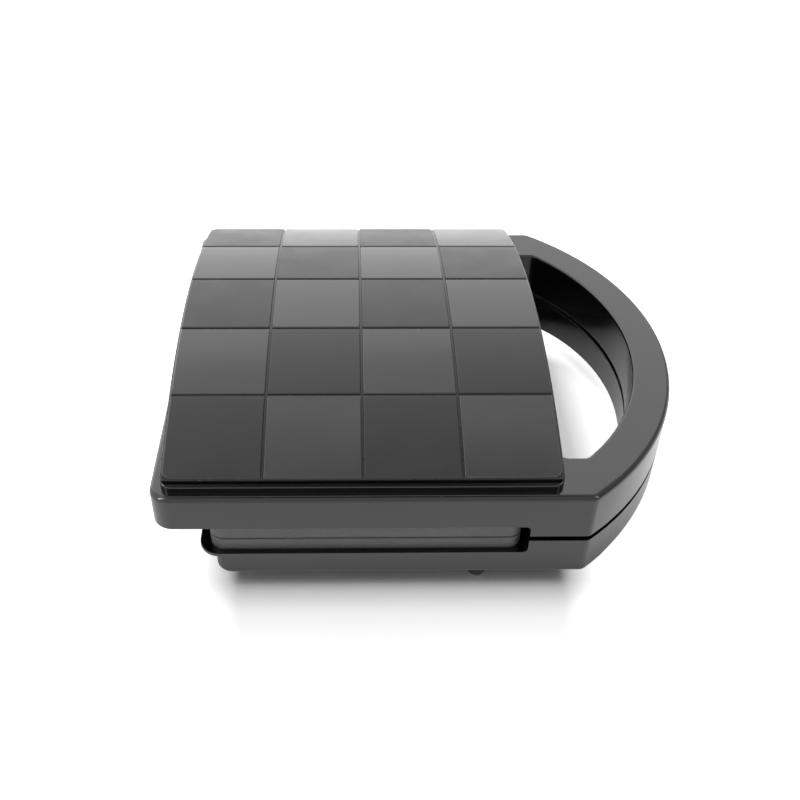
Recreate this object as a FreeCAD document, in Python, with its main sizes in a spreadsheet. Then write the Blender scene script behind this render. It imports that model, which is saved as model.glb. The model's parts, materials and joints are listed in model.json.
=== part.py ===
import FreeCAD, Part

import math
import os
import re

import Sketcher
from FreeCAD import Placement, Rotation, Vector

# Waffle cone maker: a closed clamshell with a vaulted, tiled lid and a D-shaped loop handle.
# Frame: +X towards the handle, -X towards the hinge, +Z up, floor at Z = 0, millimetres.

TILE_COLUMNS = 4
TILE_ROWS = 5
VENT_SLOTS = 7

# Tolerances of the edge searches and of the test that a cut removes something
SAME_PLACE = 1e-4
SAME_LENGTH = 1e-3
NEAR = 0.6
SLACK = 0.1
SHORTEST_UPRIGHT = 0.5
LEAST_CUT = 0.01

SIZES = [
    # Overall form
    ("overall_length", 264.0, "rear of the lid to the tip of the handle"),
    ("shell_width", 237.0, "across both side walls"),
    ("foot_height", 8.0, "floor to the underside of the base"),
    ("lower_height", 21.7, "base underside to the front parting face"),
    ("parting_gap", 2.8, "shadow gap between the halves at the front"),
    ("upper_height", 25.6, "parting face to the flat top of the lid"),
    ("ledge_drop", 7.9, "parting face of the base down to the plate ledge"),
    ("slot_rise", 6.3, "parting face of the lid up to the slot edge"),
    ("wall", 2.5, "moulded side walls"),
    ("deck", 2.5, "flat top of the lid and of the base front"),
    ("flange", 2.0, "plate ledge of the base"),
    ("rear_overhang", 20.2, "lid beyond the rear rim of the base"),
    ("tub_inset", 7.4, "rear rim beyond the tub wall"),
    ("slot_lead", 2.4, "plate front to the end of the side slot"),
    ("rear_corner", 10.0, "plan radius at the rear"),
    ("tub_corner", 8.0, "plan radius of the tub at the rear"),
    ("front_corner", 5.0, "plan radius where the sides meet the loop"),
    ("edge_round", 2.6, "upper outer edge"),
    ("bottom_round", 1.8, "lower outer edge"),
    ("slot_corner", 2.2, "end of the side slot"),
    ("fit_gap", 0.2, "clearance of pieces that drop in"),
    # Loop handle
    ("handle_outer_radius", 149.3, "outer arc of the loop"),
    ("handle_inner_radius", 126.8, "inner arc of the loop"),
    ("grip_width", 19.3, "loop width at its tip"),
    ("arm_width", 27.5, "loop width at its roots"),
    ("handle_rise", 7.0, "underside of the loop above the base at its tip"),
    ("handle_slope_lead", 8.0, "hand gap wall to the start of that rise"),
    ("gap_corner", 5.0, "plan radius in the hand gap"),
    ("gap_edge_round", 1.6, "upper edge of the hand gap"),
    ("handle_skin", 3.0, "closed side of the loop channel"),
    ("handle_cover_thickness", 2.0, "insert that closes the loop channel"),
    ("handle_cover_recess", 0.3, "insert behind the parting face"),
    # Vaulted cover and tiles
    ("tile_pitch", 46.0, "square tile, groove to groove"),
    ("vault_radius", 310.0, "outer face of the tiles"),
    ("rear_ledge", 6.4, "lid edge to the tiles at the rear"),
    ("front_ledge", 2.0, "tiles to the wall behind the hand gap"),
    ("panel_edge_height", 7.0, "lid top to the upper edge of the outer tiles"),
    ("panel_thickness", 2.2, "tile panel"),
    ("panel_corner", 4.5, "plan radius of the tile panel"),
    ("panel_edge_round", 0.7, "upper edge of the tile panel"),
    ("groove_depth", 0.7, "groove between tiles"),
    ("groove_width", 1.3, "groove between tiles"),
    ("reveal", 1.3, "shadow gap under the tile panel"),
    ("reveal_inset", 1.6, "depth of that gap behind the panel edge"),
    ("plinth_margin", 1.2, "plinth beyond the tile panel"),
    ("plinth_corner", 5.5, "plan radius of the plinth"),
    ("plinth_edge_round", 0.5, "upper edge of the plinth"),
    ("cover_wall", 2.4, "walls of the plinth"),
    # Baking plates
    ("plate_length", 149.3, "along the lid"),
    ("plate_setback", 3.0, "side wall to the plate edge"),
    ("plate_rear_gap", 5.3, "rear rim to the plate edge"),
    ("plate_gap", 0.4, "between the closed plates"),
    ("lower_plate_thickness", 6.9, "rim of the lower plate"),
    ("plate_web", 4.5, "plate behind its baking face"),
    ("plate_corner", 7.0, "plan radius of the plates"),
    ("plate_edge_round", 0.8, "edge of the baking face"),
    ("plate_seat", 6.0, "plate rim that bears on the ledge or bezel"),
    ("field_diameter", 102.0, "round waffle field"),
    ("field_spacing", 111.0, "between the two fields"),
    ("field_depth", 1.2, "field below the plate face"),
    ("field_border", 2.5, "plain ring round the waffle grid"),
    ("grid_pitch", 10.0, "waffle grid"),
    ("grid_depth", 1.0, "waffle grooves"),
    ("boss_spacing_x", 96.0, "plate bosses along the plate"),
    ("boss_spacing_y", 176.0, "plate bosses across the plate"),
    ("boss_diameter", 10.0, "plate boss above its shoulder"),
    ("boss_shoulder", 2.0, "shoulder that carries the reflector"),
    ("upper_shoulder", 10.0, "plate web to the upper reflector"),
    ("lower_shoulder", 9.0, "plate web to the lower reflector"),
    ("bezel_thickness", 2.0, "frame round the upper plate"),
    ("bezel_recess", 0.3, "frame above the slot edge"),
    # Heaters
    ("reflector_length", 112.0, "sheet tray along the plate"),
    ("reflector_width", 206.0, "sheet tray across the plate"),
    ("reflector_sheet", 0.8, "sheet thickness"),
    ("reflector_rim", 2.0, "turned edge of the tray"),
    ("element_radius", 3.25, "tubular heater"),
    ("element_gap", 0.1, "heater to the plate web"),
    ("element_bend", 12.0, "bend radius of the heater"),
    ("element_reach", 40.0, "plate centre to the front and rear runs"),
    ("element_spread", 70.0, "plate centre to the side runs"),
    ("terminal_spread", 14.0, "plate centre to each heater end"),
    ("terminal_reach", 56.0, "plate centre to the heater ends"),
    ("terminal_radius", 1.5, "cold pin"),
    ("terminal_length", 6.0, "cold pin"),
    ("clip_sheet", 1.0, "heater saddle"),
    ("clip_foot", 5.0, "heater saddle foot"),
    ("clip_width", 8.0, "heater saddle along the heater"),
    ("clip_spacing", 36.0, "between the saddles of one run"),
    # Hinge
    ("hinge_setback", 11.4, "rear of the lid to the hinge axis"),
    ("hinge_height", 8.4, "plate ledge to the hinge axis"),
    ("hinge_spacing", 124.0, "between the two hinges"),
    ("barrel_radius", 6.0, "hinge arms and ears round the pin"),
    ("pin_radius", 2.5, "hinge pin"),
    ("pin_clearance", 0.05, "hinge pin, radial"),
    ("pin_head_radius", 4.0, "hinge pin head"),
    ("pin_head", 1.5, "hinge pin head thickness"),
    ("arm_thickness", 12.0, "base arm between the ears"),
    ("ear_thickness", 5.0, "each lid ear"),
    ("hinge_side_gap", 0.4, "arm to ear"),
    ("ear_foot", 3.0, "ear spread above the barrel"),
    ("lid_travel", 105.0, "degrees from closed to the stop"),
    ("stop_gap", 0.3, "lid to the stop heel at full travel"),
    ("heel_length", 9.0, "stop heel below the axis"),
    # Fasteners and posts
    ("screw_radius", 1.45, "housing screws"),
    ("screw_head_radius", 2.8, "housing screws"),
    ("screw_head", 1.1, "housing screw head height"),
    ("screw_length", 7.0, "housing screws"),
    ("plate_screw_radius", 1.8, "plate screws"),
    ("plate_screw_head_radius", 3.4, "plate screws"),
    ("plate_screw_length", 10.0, "plate screws"),
    ("screw_clearance", 0.1, "screw in its hole, radial"),
    ("post_radius", 3.5, "moulded screw posts"),
    ("post_margin", 9.0, "posts from the outer walls"),
    ("cover_post_margin_x", 12.0, "cover posts from the tile ends"),
    ("cover_post_margin_y", 12.4, "cover posts from the tile sides"),
    # Base
    ("base_thickness", 2.2, "floor of the base"),
    ("vent_length", 46.0, "floor vent"),
    ("vent_width", 3.0, "floor vent"),
    ("vent_pitch", 9.0, "between floor vents"),
    ("foot_top_radius", 5.0, "foot against the base"),
    ("foot_bottom_radius", 4.0, "foot on the floor"),
    ("foot_stem_radius", 2.4, "foot stem through the base"),
    ("foot_barb", 0.8, "foot stem head"),
    ("foot_margin", 8.0, "side wall to the front feet"),
    ("front_foot_reach", 55.0, "plate centre to the front feet"),
    ("rear_foot_reach", 48.0, "plate centre to the rear feet"),
    ("rear_foot_spread", 68.0, "middle to the rear feet"),
    # Electrical pieces
    ("thermostat_radius", 7.0, "thermostat body"),
    ("thermostat_height", 7.5, "thermostat body"),
    ("thermostat_flange", 0.8, "thermostat mounting plate"),
    ("thermostat_ear", 12.0, "half length of the mounting plate"),
    ("thermostat_window", 9.5, "radius of the reflector opening"),
    ("blade_width", 6.0, "thermostat terminal"),
    ("blade_sheet", 0.8, "thermostat terminal"),
    ("blade_length", 3.0, "thermostat terminal"),
    ("fuse_radius", 1.8, "thermal fuse"),
    ("fuse_length", 12.0, "thermal fuse"),
    ("fuse_lead_radius", 0.6, "thermal fuse leads"),
    ("fuse_lead_length", 9.0, "thermal fuse leads"),
    ("fuse_offset", 24.0, "plate centre to the fuse"),
    ("fuse_gap", 0.15, "fuse to the reflector"),
    ("block_depth", 10.0, "terminal block along the base"),
    ("block_width", 24.0, "terminal block across the base"),
    ("block_height", 8.0, "terminal block"),
    ("block_offset", 40.0, "middle to the terminal block"),
    ("block_gap", 4.0, "tub wall to the terminal block"),
    ("block_bore", 1.6, "terminal block wire bores"),
    ("lead_radius", 1.1, "insulated wires"),
    ("lead_bend", 4.0, "wire bends"),
    ("lead_step", 2.6, "between the two wires"),
    ("lead_height", 2.0, "base floor to the lower wire"),
    ("lead_hole", 2.0, "wire holes in the bezel"),
    ("gland_bore", 3.1, "cord gland"),
    ("gland_radius", 3.9, "cord gland body"),
    ("gland_flange_radius", 4.6, "cord gland flange"),
    ("gland_flange", 2.0, "cord gland flange"),
]

doc = FreeCAD.newDocument("waffle_cone_maker")
sheet = doc.addObject("Spreadsheet::Sheet", "Sizes")
for row, (alias, value, note) in enumerate(SIZES, 1):
    sheet.set(f"A{row}", alias)
    sheet.set(f"B{row}", str(value))
    sheet.set(f"C{row}", note)
    sheet.setAlias(f"B{row}", alias)
doc.recompute()

ALIASES = {alias for alias, _value, _note in SIZES}
NODES = []


# Expressions and placing

def linked(expression):
    """The expression with each size name pointing at its cell."""
    def cell(word):
        return f"Sizes.{word.group(0)}" if word.group(0) in ALIASES else word.group(0)
    return re.sub(r"[a-z][a-z0-9_]*", cell, str(expression))


def number(expression):
    """The present value of an expression of sizes."""
    return float(sheet.evalExpression(linked(expression)))


def bind(item, prop, expression):
    item.setExpression(prop, linked(expression))


def place(item, x="0", y="0", z="0"):
    bind(item, "Placement.Base.x", x)
    bind(item, "Placement.Base.y", y)
    bind(item, "Placement.Base.z", z)


def node(item, name):
    """Names a finished sub-part, which is written to a file of that name."""
    item.Label = name
    NODES.append(item)
    return item


def squared(expression):
    return f"pow({expression}; 2)"


# Sketches and features

def new_body(name):
    return doc.addObject("PartDesign::Body", name)


def sketch_on(body, role, offset="0", rise="0"):
    """A sketch on one of the body's origin planes, moved along the plane's normal and up in the plane."""
    sketch = body.newObject("Sketcher::SketchObject", f"{body.Name}_sketch")
    plane = next(item for item in body.Origin.OriginFeatures if item.Role == role)
    sketch.AttachmentSupport = [(plane, "")]
    sketch.MapMode = "FlatFace"
    bind(sketch, "AttachmentOffset.Base.z", offset)
    bind(sketch, "AttachmentOffset.Base.y", rise)
    return sketch


def flat_sketch(body, z):
    return sketch_on(body, "XY_Plane", z)


def side_sketch(body, y="0", rise="0"):
    """A sketch whose axes are X and Z, standing at y."""
    return sketch_on(body, "XZ_Plane", f"-({y})", rise)


def end_sketch(body, x="0"):
    """A sketch whose axes are Y and Z, standing at x."""
    return sketch_on(body, "YZ_Plane", x)


def dimension(sketch, kind, expression, *where):
    index = sketch.addConstraint(Sketcher.Constraint(kind, *where, number(expression)))
    bind(sketch, f"Constraints[{index}]", expression)


def pin_point(sketch, curve, end, x, y):
    dimension(sketch, "DistanceX", x, -1, 1, curve, end)
    dimension(sketch, "DistanceY", y, -1, 1, curve, end)


def arc_between(start, end, radius, turn):
    """The short arc from start to end, anticlockwise for turn 1 and clockwise for turn -1."""
    chord = end - start
    height = math.sqrt(max(radius ** 2 - chord.Length ** 2 / 4, 0.0))
    left = Vector(-chord.y, chord.x, 0).normalize()
    centre = (start + end) / 2 + left * (height * turn)
    first, last = (start, end) if turn > 0 else (end, start)
    angles = [math.atan2(point.y - centre.y, point.x - centre.x) for point in (first, last)]
    circle = Part.Circle(centre, Vector(0, 0, 1), radius)
    return Part.ArcOfCircle(circle, *angles)


def outline(sketch, points, closed=True):
    """Draws a path. A point is (x, y) for a straight run to it, or (x, y, radius, turn) for an arc to it."""
    if closed and points[-1][:2] != points[0][:2]:
        points = points + [points[0]]
    spots = [Vector(number(point[0]), number(point[1]), 0) for point in points]
    ends = []
    for index, point in enumerate(points[1:], 1):
        start, stop = spots[index - 1], spots[index]
        if len(point) == 2:
            curve = sketch.addGeometry(Part.LineSegment(start, stop))
            ends.append((curve, 1, 2))
        else:
            radius, turn = point[2], point[3]
            curve = sketch.addGeometry(arc_between(start, stop, number(radius), turn))
            dimension(sketch, "Radius", radius, curve)
            ends.append((curve, 1, 2) if turn > 0 else (curve, 2, 1))
    for (curve, _begin, last), point in zip(ends, points[1:]):
        pin_point(sketch, curve, last, point[0], point[1])
    for (curve, _begin, last), (following, begin, _last) in zip(ends, ends[1:]):
        sketch.addConstraint(Sketcher.Constraint("Coincident", curve, last, following, begin))
    first, begin, _last = ends[0]
    if closed:
        sketch.addConstraint(Sketcher.Constraint("Coincident", ends[-1][0], ends[-1][2], first, begin))
    else:
        pin_point(sketch, first, begin, points[0][0], points[0][1])
    return sketch


def circle_in(sketch, x, y, radius):
    curve = sketch.addGeometry(Part.Circle(Vector(number(x), number(y), 0), Vector(0, 0, 1), number(radius)))
    pin_point(sketch, curve, 3, x, y)
    dimension(sketch, "Radius", radius, curve)
    return sketch


def rounded_box(sketch, x0, y0, x1, y1, radius):
    """A rectangle with round corners, anticlockwise from its lower edge."""
    return outline(sketch, [
        (f"{x0} + {radius}", y0), (f"{x1} - {radius}", y0), (x1, f"{y0} + {radius}", radius, 1),
        (x1, f"{y1} - {radius}"), (f"{x1} - {radius}", y1, radius, 1),
        (f"{x0} + {radius}", y1), (x0, f"{y1} - {radius}", radius, 1),
        (x0, f"{y0} + {radius}"), (f"{x0} + {radius}", y0, radius, 1),
    ])


def plain_box(sketch, x0, y0, x1, y1):
    return outline(sketch, [(x0, y0), (x1, y0), (x1, y1), (x0, y1)])


def pad(body, sketch, length, both=False, down=False):
    feature = body.newObject("PartDesign::Pad", f"{body.Name}_pad")
    feature.Profile = sketch
    feature.SideType = "Symmetric" if both else "One side"
    feature.Reversed = down
    bind(feature, "Length", length)
    doc.recompute()
    return feature


def pocket(body, sketch, length, both=False, up=False):
    """Cuts along the sketch's normal, downwards unless up, and makes sure that something was cut."""
    before = body.Shape.Volume
    feature = body.newObject("PartDesign::Pocket", f"{body.Name}_pocket")
    feature.Profile = sketch
    feature.SideType = "Symmetric" if both else "One side"
    feature.Reversed = up
    bind(feature, "Length", length)
    doc.recompute()
    if body.Shape.Volume > before - LEAST_CUT:
        raise RuntimeError(f"{feature.Name} cuts nothing")
    return feature


def edges_where(shape, test):
    return [f"Edge{index}" for index, edge in enumerate(shape.Edges, 1) if test(edge)]


def round_edges(body, test, radius):
    """Rounds the edges of the body's present shape that pass the test."""
    base = body.Tip
    names = edges_where(base.Shape, test)
    if not names:
        raise RuntimeError(f"{body.Name} has no edge to round")
    feature = body.newObject("PartDesign::Fillet", f"{body.Name}_round")
    feature.Base = (base, names)
    bind(feature, "Radius", radius)
    doc.recompute()
    return feature


def upright(edge):
    box = edge.BoundBox
    return box.ZLength > SHORTEST_UPRIGHT and max(box.XLength, box.YLength) < SAME_PLACE


def upright_near(edge, x, y):
    middle = edge.BoundBox.Center
    return upright(edge) and math.hypot(middle.x - number(x), abs(middle.y) - number(y)) < NEAR


def level_at(edge, z):
    box = edge.BoundBox
    return max(abs(box.ZMin - number(z)), abs(box.ZMax - number(z))) < SAME_PLACE


def cylinder(name, radius, height, x, y, z, axis=None):
    """A plain cylinder from (x, y, z) along +Z, or along another axis."""
    item = doc.addObject("Part::Cylinder", name)
    bind(item, "Radius", radius)
    bind(item, "Height", height)
    if axis is not None:
        item.Placement = Placement(Vector(), Rotation(Vector(0, 0, 1), axis))
    place(item, x, y, z)
    return item


def joined(name, items):
    item = doc.addObject("Part::MultiFuse", name)
    item.Shapes = items
    return item


def group(name, items):
    item = doc.addObject("Part::Compound", name)
    item.Links = items
    return item


# Levels and lines that several pieces share

HALF_WIDTH = "(shell_width / 2)"
REAR = "(0 - overall_length / 2)"
TIP = "(overall_length / 2)"
BASE_FLOOR = "foot_height"
LOWER_TOP = "(foot_height + lower_height)"
LEDGE = f"({LOWER_TOP} - ledge_drop)"
UPPER_BOTTOM = f"({LOWER_TOP} + parting_gap)"
SLOT_EDGE = f"({UPPER_BOTTOM} + slot_rise)"
UPPER_TOP = f"({UPPER_BOTTOM} + upper_height)"
DECK_UNDER = f"({UPPER_TOP} - deck)"

TILES_REAR = f"({REAR} + rear_ledge)"
TILES_FRONT = f"({TILES_REAR} + {TILE_COLUMNS} * tile_pitch)"
TILES_MIDDLE = f"({TILES_REAR} + {TILE_COLUMNS} * tile_pitch / 2)"
FRONT_WALL = f"({TILES_FRONT} + front_ledge)"
RIM_REAR = f"({REAR} + rear_overhang)"
TUB_REAR = f"({RIM_REAR} + tub_inset)"
PLATE_REAR = f"({RIM_REAR} + plate_rear_gap)"
PLATE_FRONT = f"({PLATE_REAR} + plate_length)"
PLATE_MIDDLE = f"({PLATE_REAR} + plate_length / 2)"
PLATE_HALF_WIDTH = f"({HALF_WIDTH} - plate_setback)"
SLOT_END = f"({PLATE_FRONT} + slot_lead)"

SLOPE_START = f"({FRONT_WALL} + handle_slope_lead)"
ARM_INNER = f"({HALF_WIDTH} - arm_width)"
OUTER_CENTRE = f"({TIP} - handle_outer_radius)"
INNER_CENTRE = f"({TIP} - grip_width - handle_inner_radius)"

LOWER_FACE = f"({LEDGE} + lower_plate_thickness)"
UPPER_FACE = f"({LOWER_FACE} + plate_gap)"
BEZEL_UNDER = f"({SLOT_EDGE} + bezel_recess)"
BEZEL_TOP = f"({BEZEL_UNDER} + bezel_thickness)"
BASE_TOP = f"({BASE_FLOOR} + base_thickness)"
LOWER_WEB = f"({LOWER_FACE} - plate_web)"
UPPER_WEB = f"({UPPER_FACE} + plate_web)"
LOWER_SHELF = f"({LOWER_WEB} - lower_shoulder)"
UPPER_SHELF = f"({UPPER_WEB} + upper_shoulder)"

HINGE_X = f"({REAR} + hinge_setback)"
HINGE_Z = f"({LEDGE} + hinge_height)"
PIN_BORE = "(pin_radius + pin_clearance)"
EAR_OFFSET = "(arm_thickness / 2 + hinge_side_gap + ear_thickness / 2)"
LEAD_EXIT = f"({HINGE_X} + barrel_radius + ear_foot)"
GLAND_HEIGHT = f"(({BASE_TOP} + {LEDGE} - flange) / 2)"
BLOCK_REAR = f"({TUB_REAR} + wall + block_gap)"

HALF_ARC = f"({TILE_ROWS} * tile_pitch / 2 / vault_radius * 180 / pi)"
VAULT_AXIS = f"({UPPER_TOP} + panel_edge_height - vault_radius * cos({HALF_ARC}))"
PANEL_HALF_WIDTH = f"(vault_radius * sin({HALF_ARC}))"
PANEL_INNER_RADIUS = "(vault_radius - panel_thickness)"
PLINTH_RADIUS = f"({PANEL_INNER_RADIUS} - reveal)"
PLINTH_HALF_WIDTH = f"({PANEL_HALF_WIDTH} + plinth_margin)"
PLINTH_LENGTH = f"({TILE_COLUMNS} * tile_pitch + 2 * plinth_margin)"

PLATE_BOSSES = [
    (f"({PLATE_MIDDLE} + {side} * boss_spacing_x / 2)", f"({hand} * boss_spacing_y / 2)")
    for side in (-1, 1) for hand in (-1, 1)
]
COVER_POSTS = [
    (f"({TILES_MIDDLE} + {side} * ({TILE_COLUMNS} * tile_pitch / 2 - cover_post_margin_x))",
     f"({hand} * ({PANEL_HALF_WIDTH} - cover_post_margin_y))")
    for side in (-1, 1) for hand in (-1, 1)
]
BEZEL_FRONT_X = f"(({SLOT_END} + {FRONT_WALL} - wall) / 2)"
BEZEL_POST_Y = [f"({hand} * ({HALF_WIDTH} - post_margin))" for hand in (-1, 1)]
BEZEL_POSTS_REAR = [(f"({REAR} + post_margin)", y) for y in BEZEL_POST_Y]
BEZEL_POSTS_FRONT = [(BEZEL_FRONT_X, y) for y in BEZEL_POST_Y]
HANDLE_POSTS = [(f"({TIP} - grip_width / 2)", "0")] + [
    (f"({FRONT_WALL} + arm_width / 2)", f"({hand} * ({HALF_WIDTH} - arm_width / 2))") for hand in (-1, 1)
]
BASE_POSTS = [
    (f"({PLATE_MIDDLE} - boss_spacing_x / 4)", f"({hand} * ({HALF_WIDTH} - wall - post_radius))")
    for hand in (-1, 1)
] + [(BEZEL_FRONT_X, f"({hand} * {ARM_INNER})") for hand in (-1, 1)]
FEET = {
    "front_foot_right": (f"({PLATE_MIDDLE} + front_foot_reach)", f"(foot_margin - {HALF_WIDTH})"),
    "front_foot_left": (f"({PLATE_MIDDLE} + front_foot_reach)", f"({HALF_WIDTH} - foot_margin)"),
    "rear_foot_right": (f"({PLATE_MIDDLE} - rear_foot_reach)", "(0 - rear_foot_spread)"),
    "rear_foot_left": (f"({PLATE_MIDDLE} - rear_foot_reach)", "rear_foot_spread"),
}
HOUSING_SCREW = ("screw_radius", "screw_head_radius", "screw_length")
PLATE_SCREW = ("plate_screw_radius", "plate_screw_head_radius", "plate_screw_length")


# Outlines that both halves share

def shell_outline(sketch, rear, corner):
    """Plan of one half: straight sides, round rear corners and the outer arc of the loop."""
    side = f"({OUTER_CENTRE} + sqrt({squared('handle_outer_radius')} - {squared(HALF_WIDTH)}))"
    return outline(sketch, [
        (f"{rear} + {corner}", f"-{HALF_WIDTH}"), (side, f"-{HALF_WIDTH}"),
        (side, HALF_WIDTH, "handle_outer_radius", 1),
        (f"{rear} + {corner}", HALF_WIDTH), (rear, f"{HALF_WIDTH} - {corner}", corner, 1),
        (rear, f"{corner} - {HALF_WIDTH}"), (f"{rear} + {corner}", f"-{HALF_WIDTH}", corner, 1),
    ])


def gap_side(inset):
    """Where the inner arc of the loop, grown by the inset, meets the flat ends of the hand gap."""
    radius = f"(handle_inner_radius + {inset})"
    return f"({INNER_CENTRE} + sqrt({squared(radius)} - {squared(f'({ARM_INNER} + {inset})')}))"


def hand_gap_outline(sketch):
    side = gap_side("0")
    return outline(sketch, [
        (FRONT_WALL, f"-{ARM_INNER}"), (side, f"-{ARM_INNER}"), (side, ARM_INNER, "handle_inner_radius", 1),
        (FRONT_WALL, ARM_INNER),
    ])


def channel_outline(sketch, inset):
    """Plan of the hollow in the loop, the given distance inside the loop's walls."""
    outer_radius = f"(handle_outer_radius - {inset})"
    half = f"({HALF_WIDTH} - {inset})"
    outer = f"({OUTER_CENTRE} + sqrt({squared(outer_radius)} - {squared(half)}))"
    inner_half = f"({ARM_INNER} + {inset})"
    inner = gap_side(inset)
    rear = f"({FRONT_WALL} - wall + {inset})"
    return outline(sketch, [
        (rear, f"-{half}"), (outer, f"-{half}"), (outer, half, outer_radius, 1), (rear, half),
        (rear, inner_half), (inner, inner_half),
        (inner, f"-{inner_half}", f"(handle_inner_radius + {inset})", -1), (rear, f"-{inner_half}"),
    ])


def round_loop_corners(body):
    side = f"({OUTER_CENTRE} + sqrt({squared('handle_outer_radius')} - {squared(HALF_WIDTH)}))"
    round_edges(body, lambda edge: upright_near(edge, side, HALF_WIDTH), "front_corner")
    for x in (gap_side("0"), FRONT_WALL):
        round_edges(body, lambda edge: upright_near(edge, x, ARM_INNER), "gap_corner")


def around_hand_gap(edge):
    """Whether an edge lies on the wall of the hand gap."""
    box = edge.BoundBox
    return (
        box.XMin > number(FRONT_WALL) - SLACK
        and box.XMax < number(f"{TIP} - grip_width") + SLACK
        and max(abs(box.YMin), abs(box.YMax)) < number(ARM_INNER) + SLACK
    )


# Lid pieces

def make_upper_housing():
    body = new_body("upper_housing_body")
    pad(body, shell_outline(flat_sketch(body, UPPER_BOTTOM), REAR, "rear_corner"), "upper_height")
    pocket(body, hand_gap_outline(flat_sketch(body, UPPER_BOTTOM)), "upper_height", up=True)
    round_loop_corners(body)
    slot = outline(side_sketch(body), [
        (f"{REAR} - wall", f"{UPPER_BOTTOM} - wall"), (SLOT_END, f"{UPPER_BOTTOM} - wall"),
        (SLOT_END, f"{SLOT_EDGE} - slot_corner"), (f"{SLOT_END} - slot_corner", SLOT_EDGE, "slot_corner", 1),
        (f"{REAR} - wall", SLOT_EDGE),
    ])
    pocket(body, slot, "shell_width + 2 * wall", both=True)
    round_edges(body, lambda edge: level_at(edge, UPPER_TOP) and not around_hand_gap(edge), "edge_round")
    round_edges(body, lambda edge: level_at(edge, UPPER_TOP) and around_hand_gap(edge), "gap_edge_round")
    inside = rounded_box(
        flat_sketch(body, UPPER_BOTTOM), f"{REAR} + wall", f"wall - {HALF_WIDTH}",
        f"{FRONT_WALL} - wall", f"{HALF_WIDTH} - wall", "(rear_corner - wall)",
    )
    pocket(body, inside, "upper_height - deck", up=True)
    channel = channel_outline(flat_sketch(body, UPPER_BOTTOM), "wall")
    pocket(body, channel, "upper_height - handle_skin", up=True)
    handle_posts = flat_sketch(body, f"{UPPER_BOTTOM} + handle_cover_recess + handle_cover_thickness")
    for x, y in HANDLE_POSTS:
        circle_in(handle_posts, x, y, "post_radius")
    pad(body, handle_posts, "upper_height - handle_cover_recess - handle_cover_thickness - handle_skin / 2")
    rear_posts = flat_sketch(body, BEZEL_TOP)
    for x, y in BEZEL_POSTS_REAR:
        circle_in(rear_posts, x, y, "post_radius")
    pad(body, rear_posts, f"{UPPER_TOP} - deck / 2 - {BEZEL_TOP}")
    front_posts = flat_sketch(body, f"{UPPER_BOTTOM} + bezel_recess + bezel_thickness")
    for x, y in BEZEL_POSTS_FRONT:
        circle_in(front_posts, x, y, "post_radius")
    pad(body, front_posts, "upper_height - deck / 2 - bezel_recess - bezel_thickness")
    for hand in (-1, 1):
        for side in (-1, 1):
            ear = outline(side_sketch(body, f"{hand} * hinge_spacing / 2 + {side} * {EAR_OFFSET}"), [
                (f"{REAR} + wall / 2", f"{UPPER_TOP} - deck / 2"), (f"{REAR} + wall / 2", SLOT_EDGE),
                (f"{HINGE_X} - barrel_radius", HINGE_Z),
                (HINGE_X, f"{HINGE_Z} - barrel_radius", "barrel_radius", 1),
                (f"{HINGE_X} + barrel_radius", HINGE_Z, "barrel_radius", 1),
                (f"{HINGE_X} + barrel_radius + ear_foot", SLOT_EDGE),
                (f"{HINGE_X} + barrel_radius + ear_foot", f"{UPPER_TOP} - deck / 2"),
            ])
            pad(body, ear, "ear_thickness", both=True)
    pocket(body, circle_in(side_sketch(body), HINGE_X, HINGE_Z, PIN_BORE), "shell_width", both=True)
    holes = flat_sketch(body, UPPER_TOP)
    for x, y in PLATE_BOSSES:
        circle_in(holes, x, y, "(plate_screw_radius + screw_clearance)")
    for x, y in COVER_POSTS:
        circle_in(holes, x, y, "(screw_radius + screw_clearance)")
    pocket(body, holes, "deck")
    screw_bores(body, HANDLE_POSTS, f"{UPPER_BOTTOM} + handle_cover_recess + handle_cover_thickness", up=True)
    screw_bores(body, BEZEL_POSTS_REAR, BEZEL_TOP, up=True)
    screw_bores(body, BEZEL_POSTS_FRONT, f"{UPPER_BOTTOM} + bezel_recess + bezel_thickness", up=True)
    return node(body, "upper_housing")


def screw_bores(body, spots, z, up):
    """Blind holes for housing screws, as deep as the screws are long."""
    sketch = flat_sketch(body, z)
    for x, y in spots:
        circle_in(sketch, x, y, "(screw_radius + screw_clearance)")
    return pocket(body, sketch, "screw_length", up=up)


def vault_profile(sketch, half_width, radius, foot):
    """Section across the vault: flat foot, upright sides and an arc about the vault's axis."""
    shoulder = f"({VAULT_AXIS} + sqrt({squared(radius)} - {squared(half_width)}))"
    return outline(sketch, [
        (f"-{half_width}", foot), (half_width, foot), (half_width, shoulder),
        (f"-{half_width}", shoulder, radius, 1),
    ])


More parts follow.
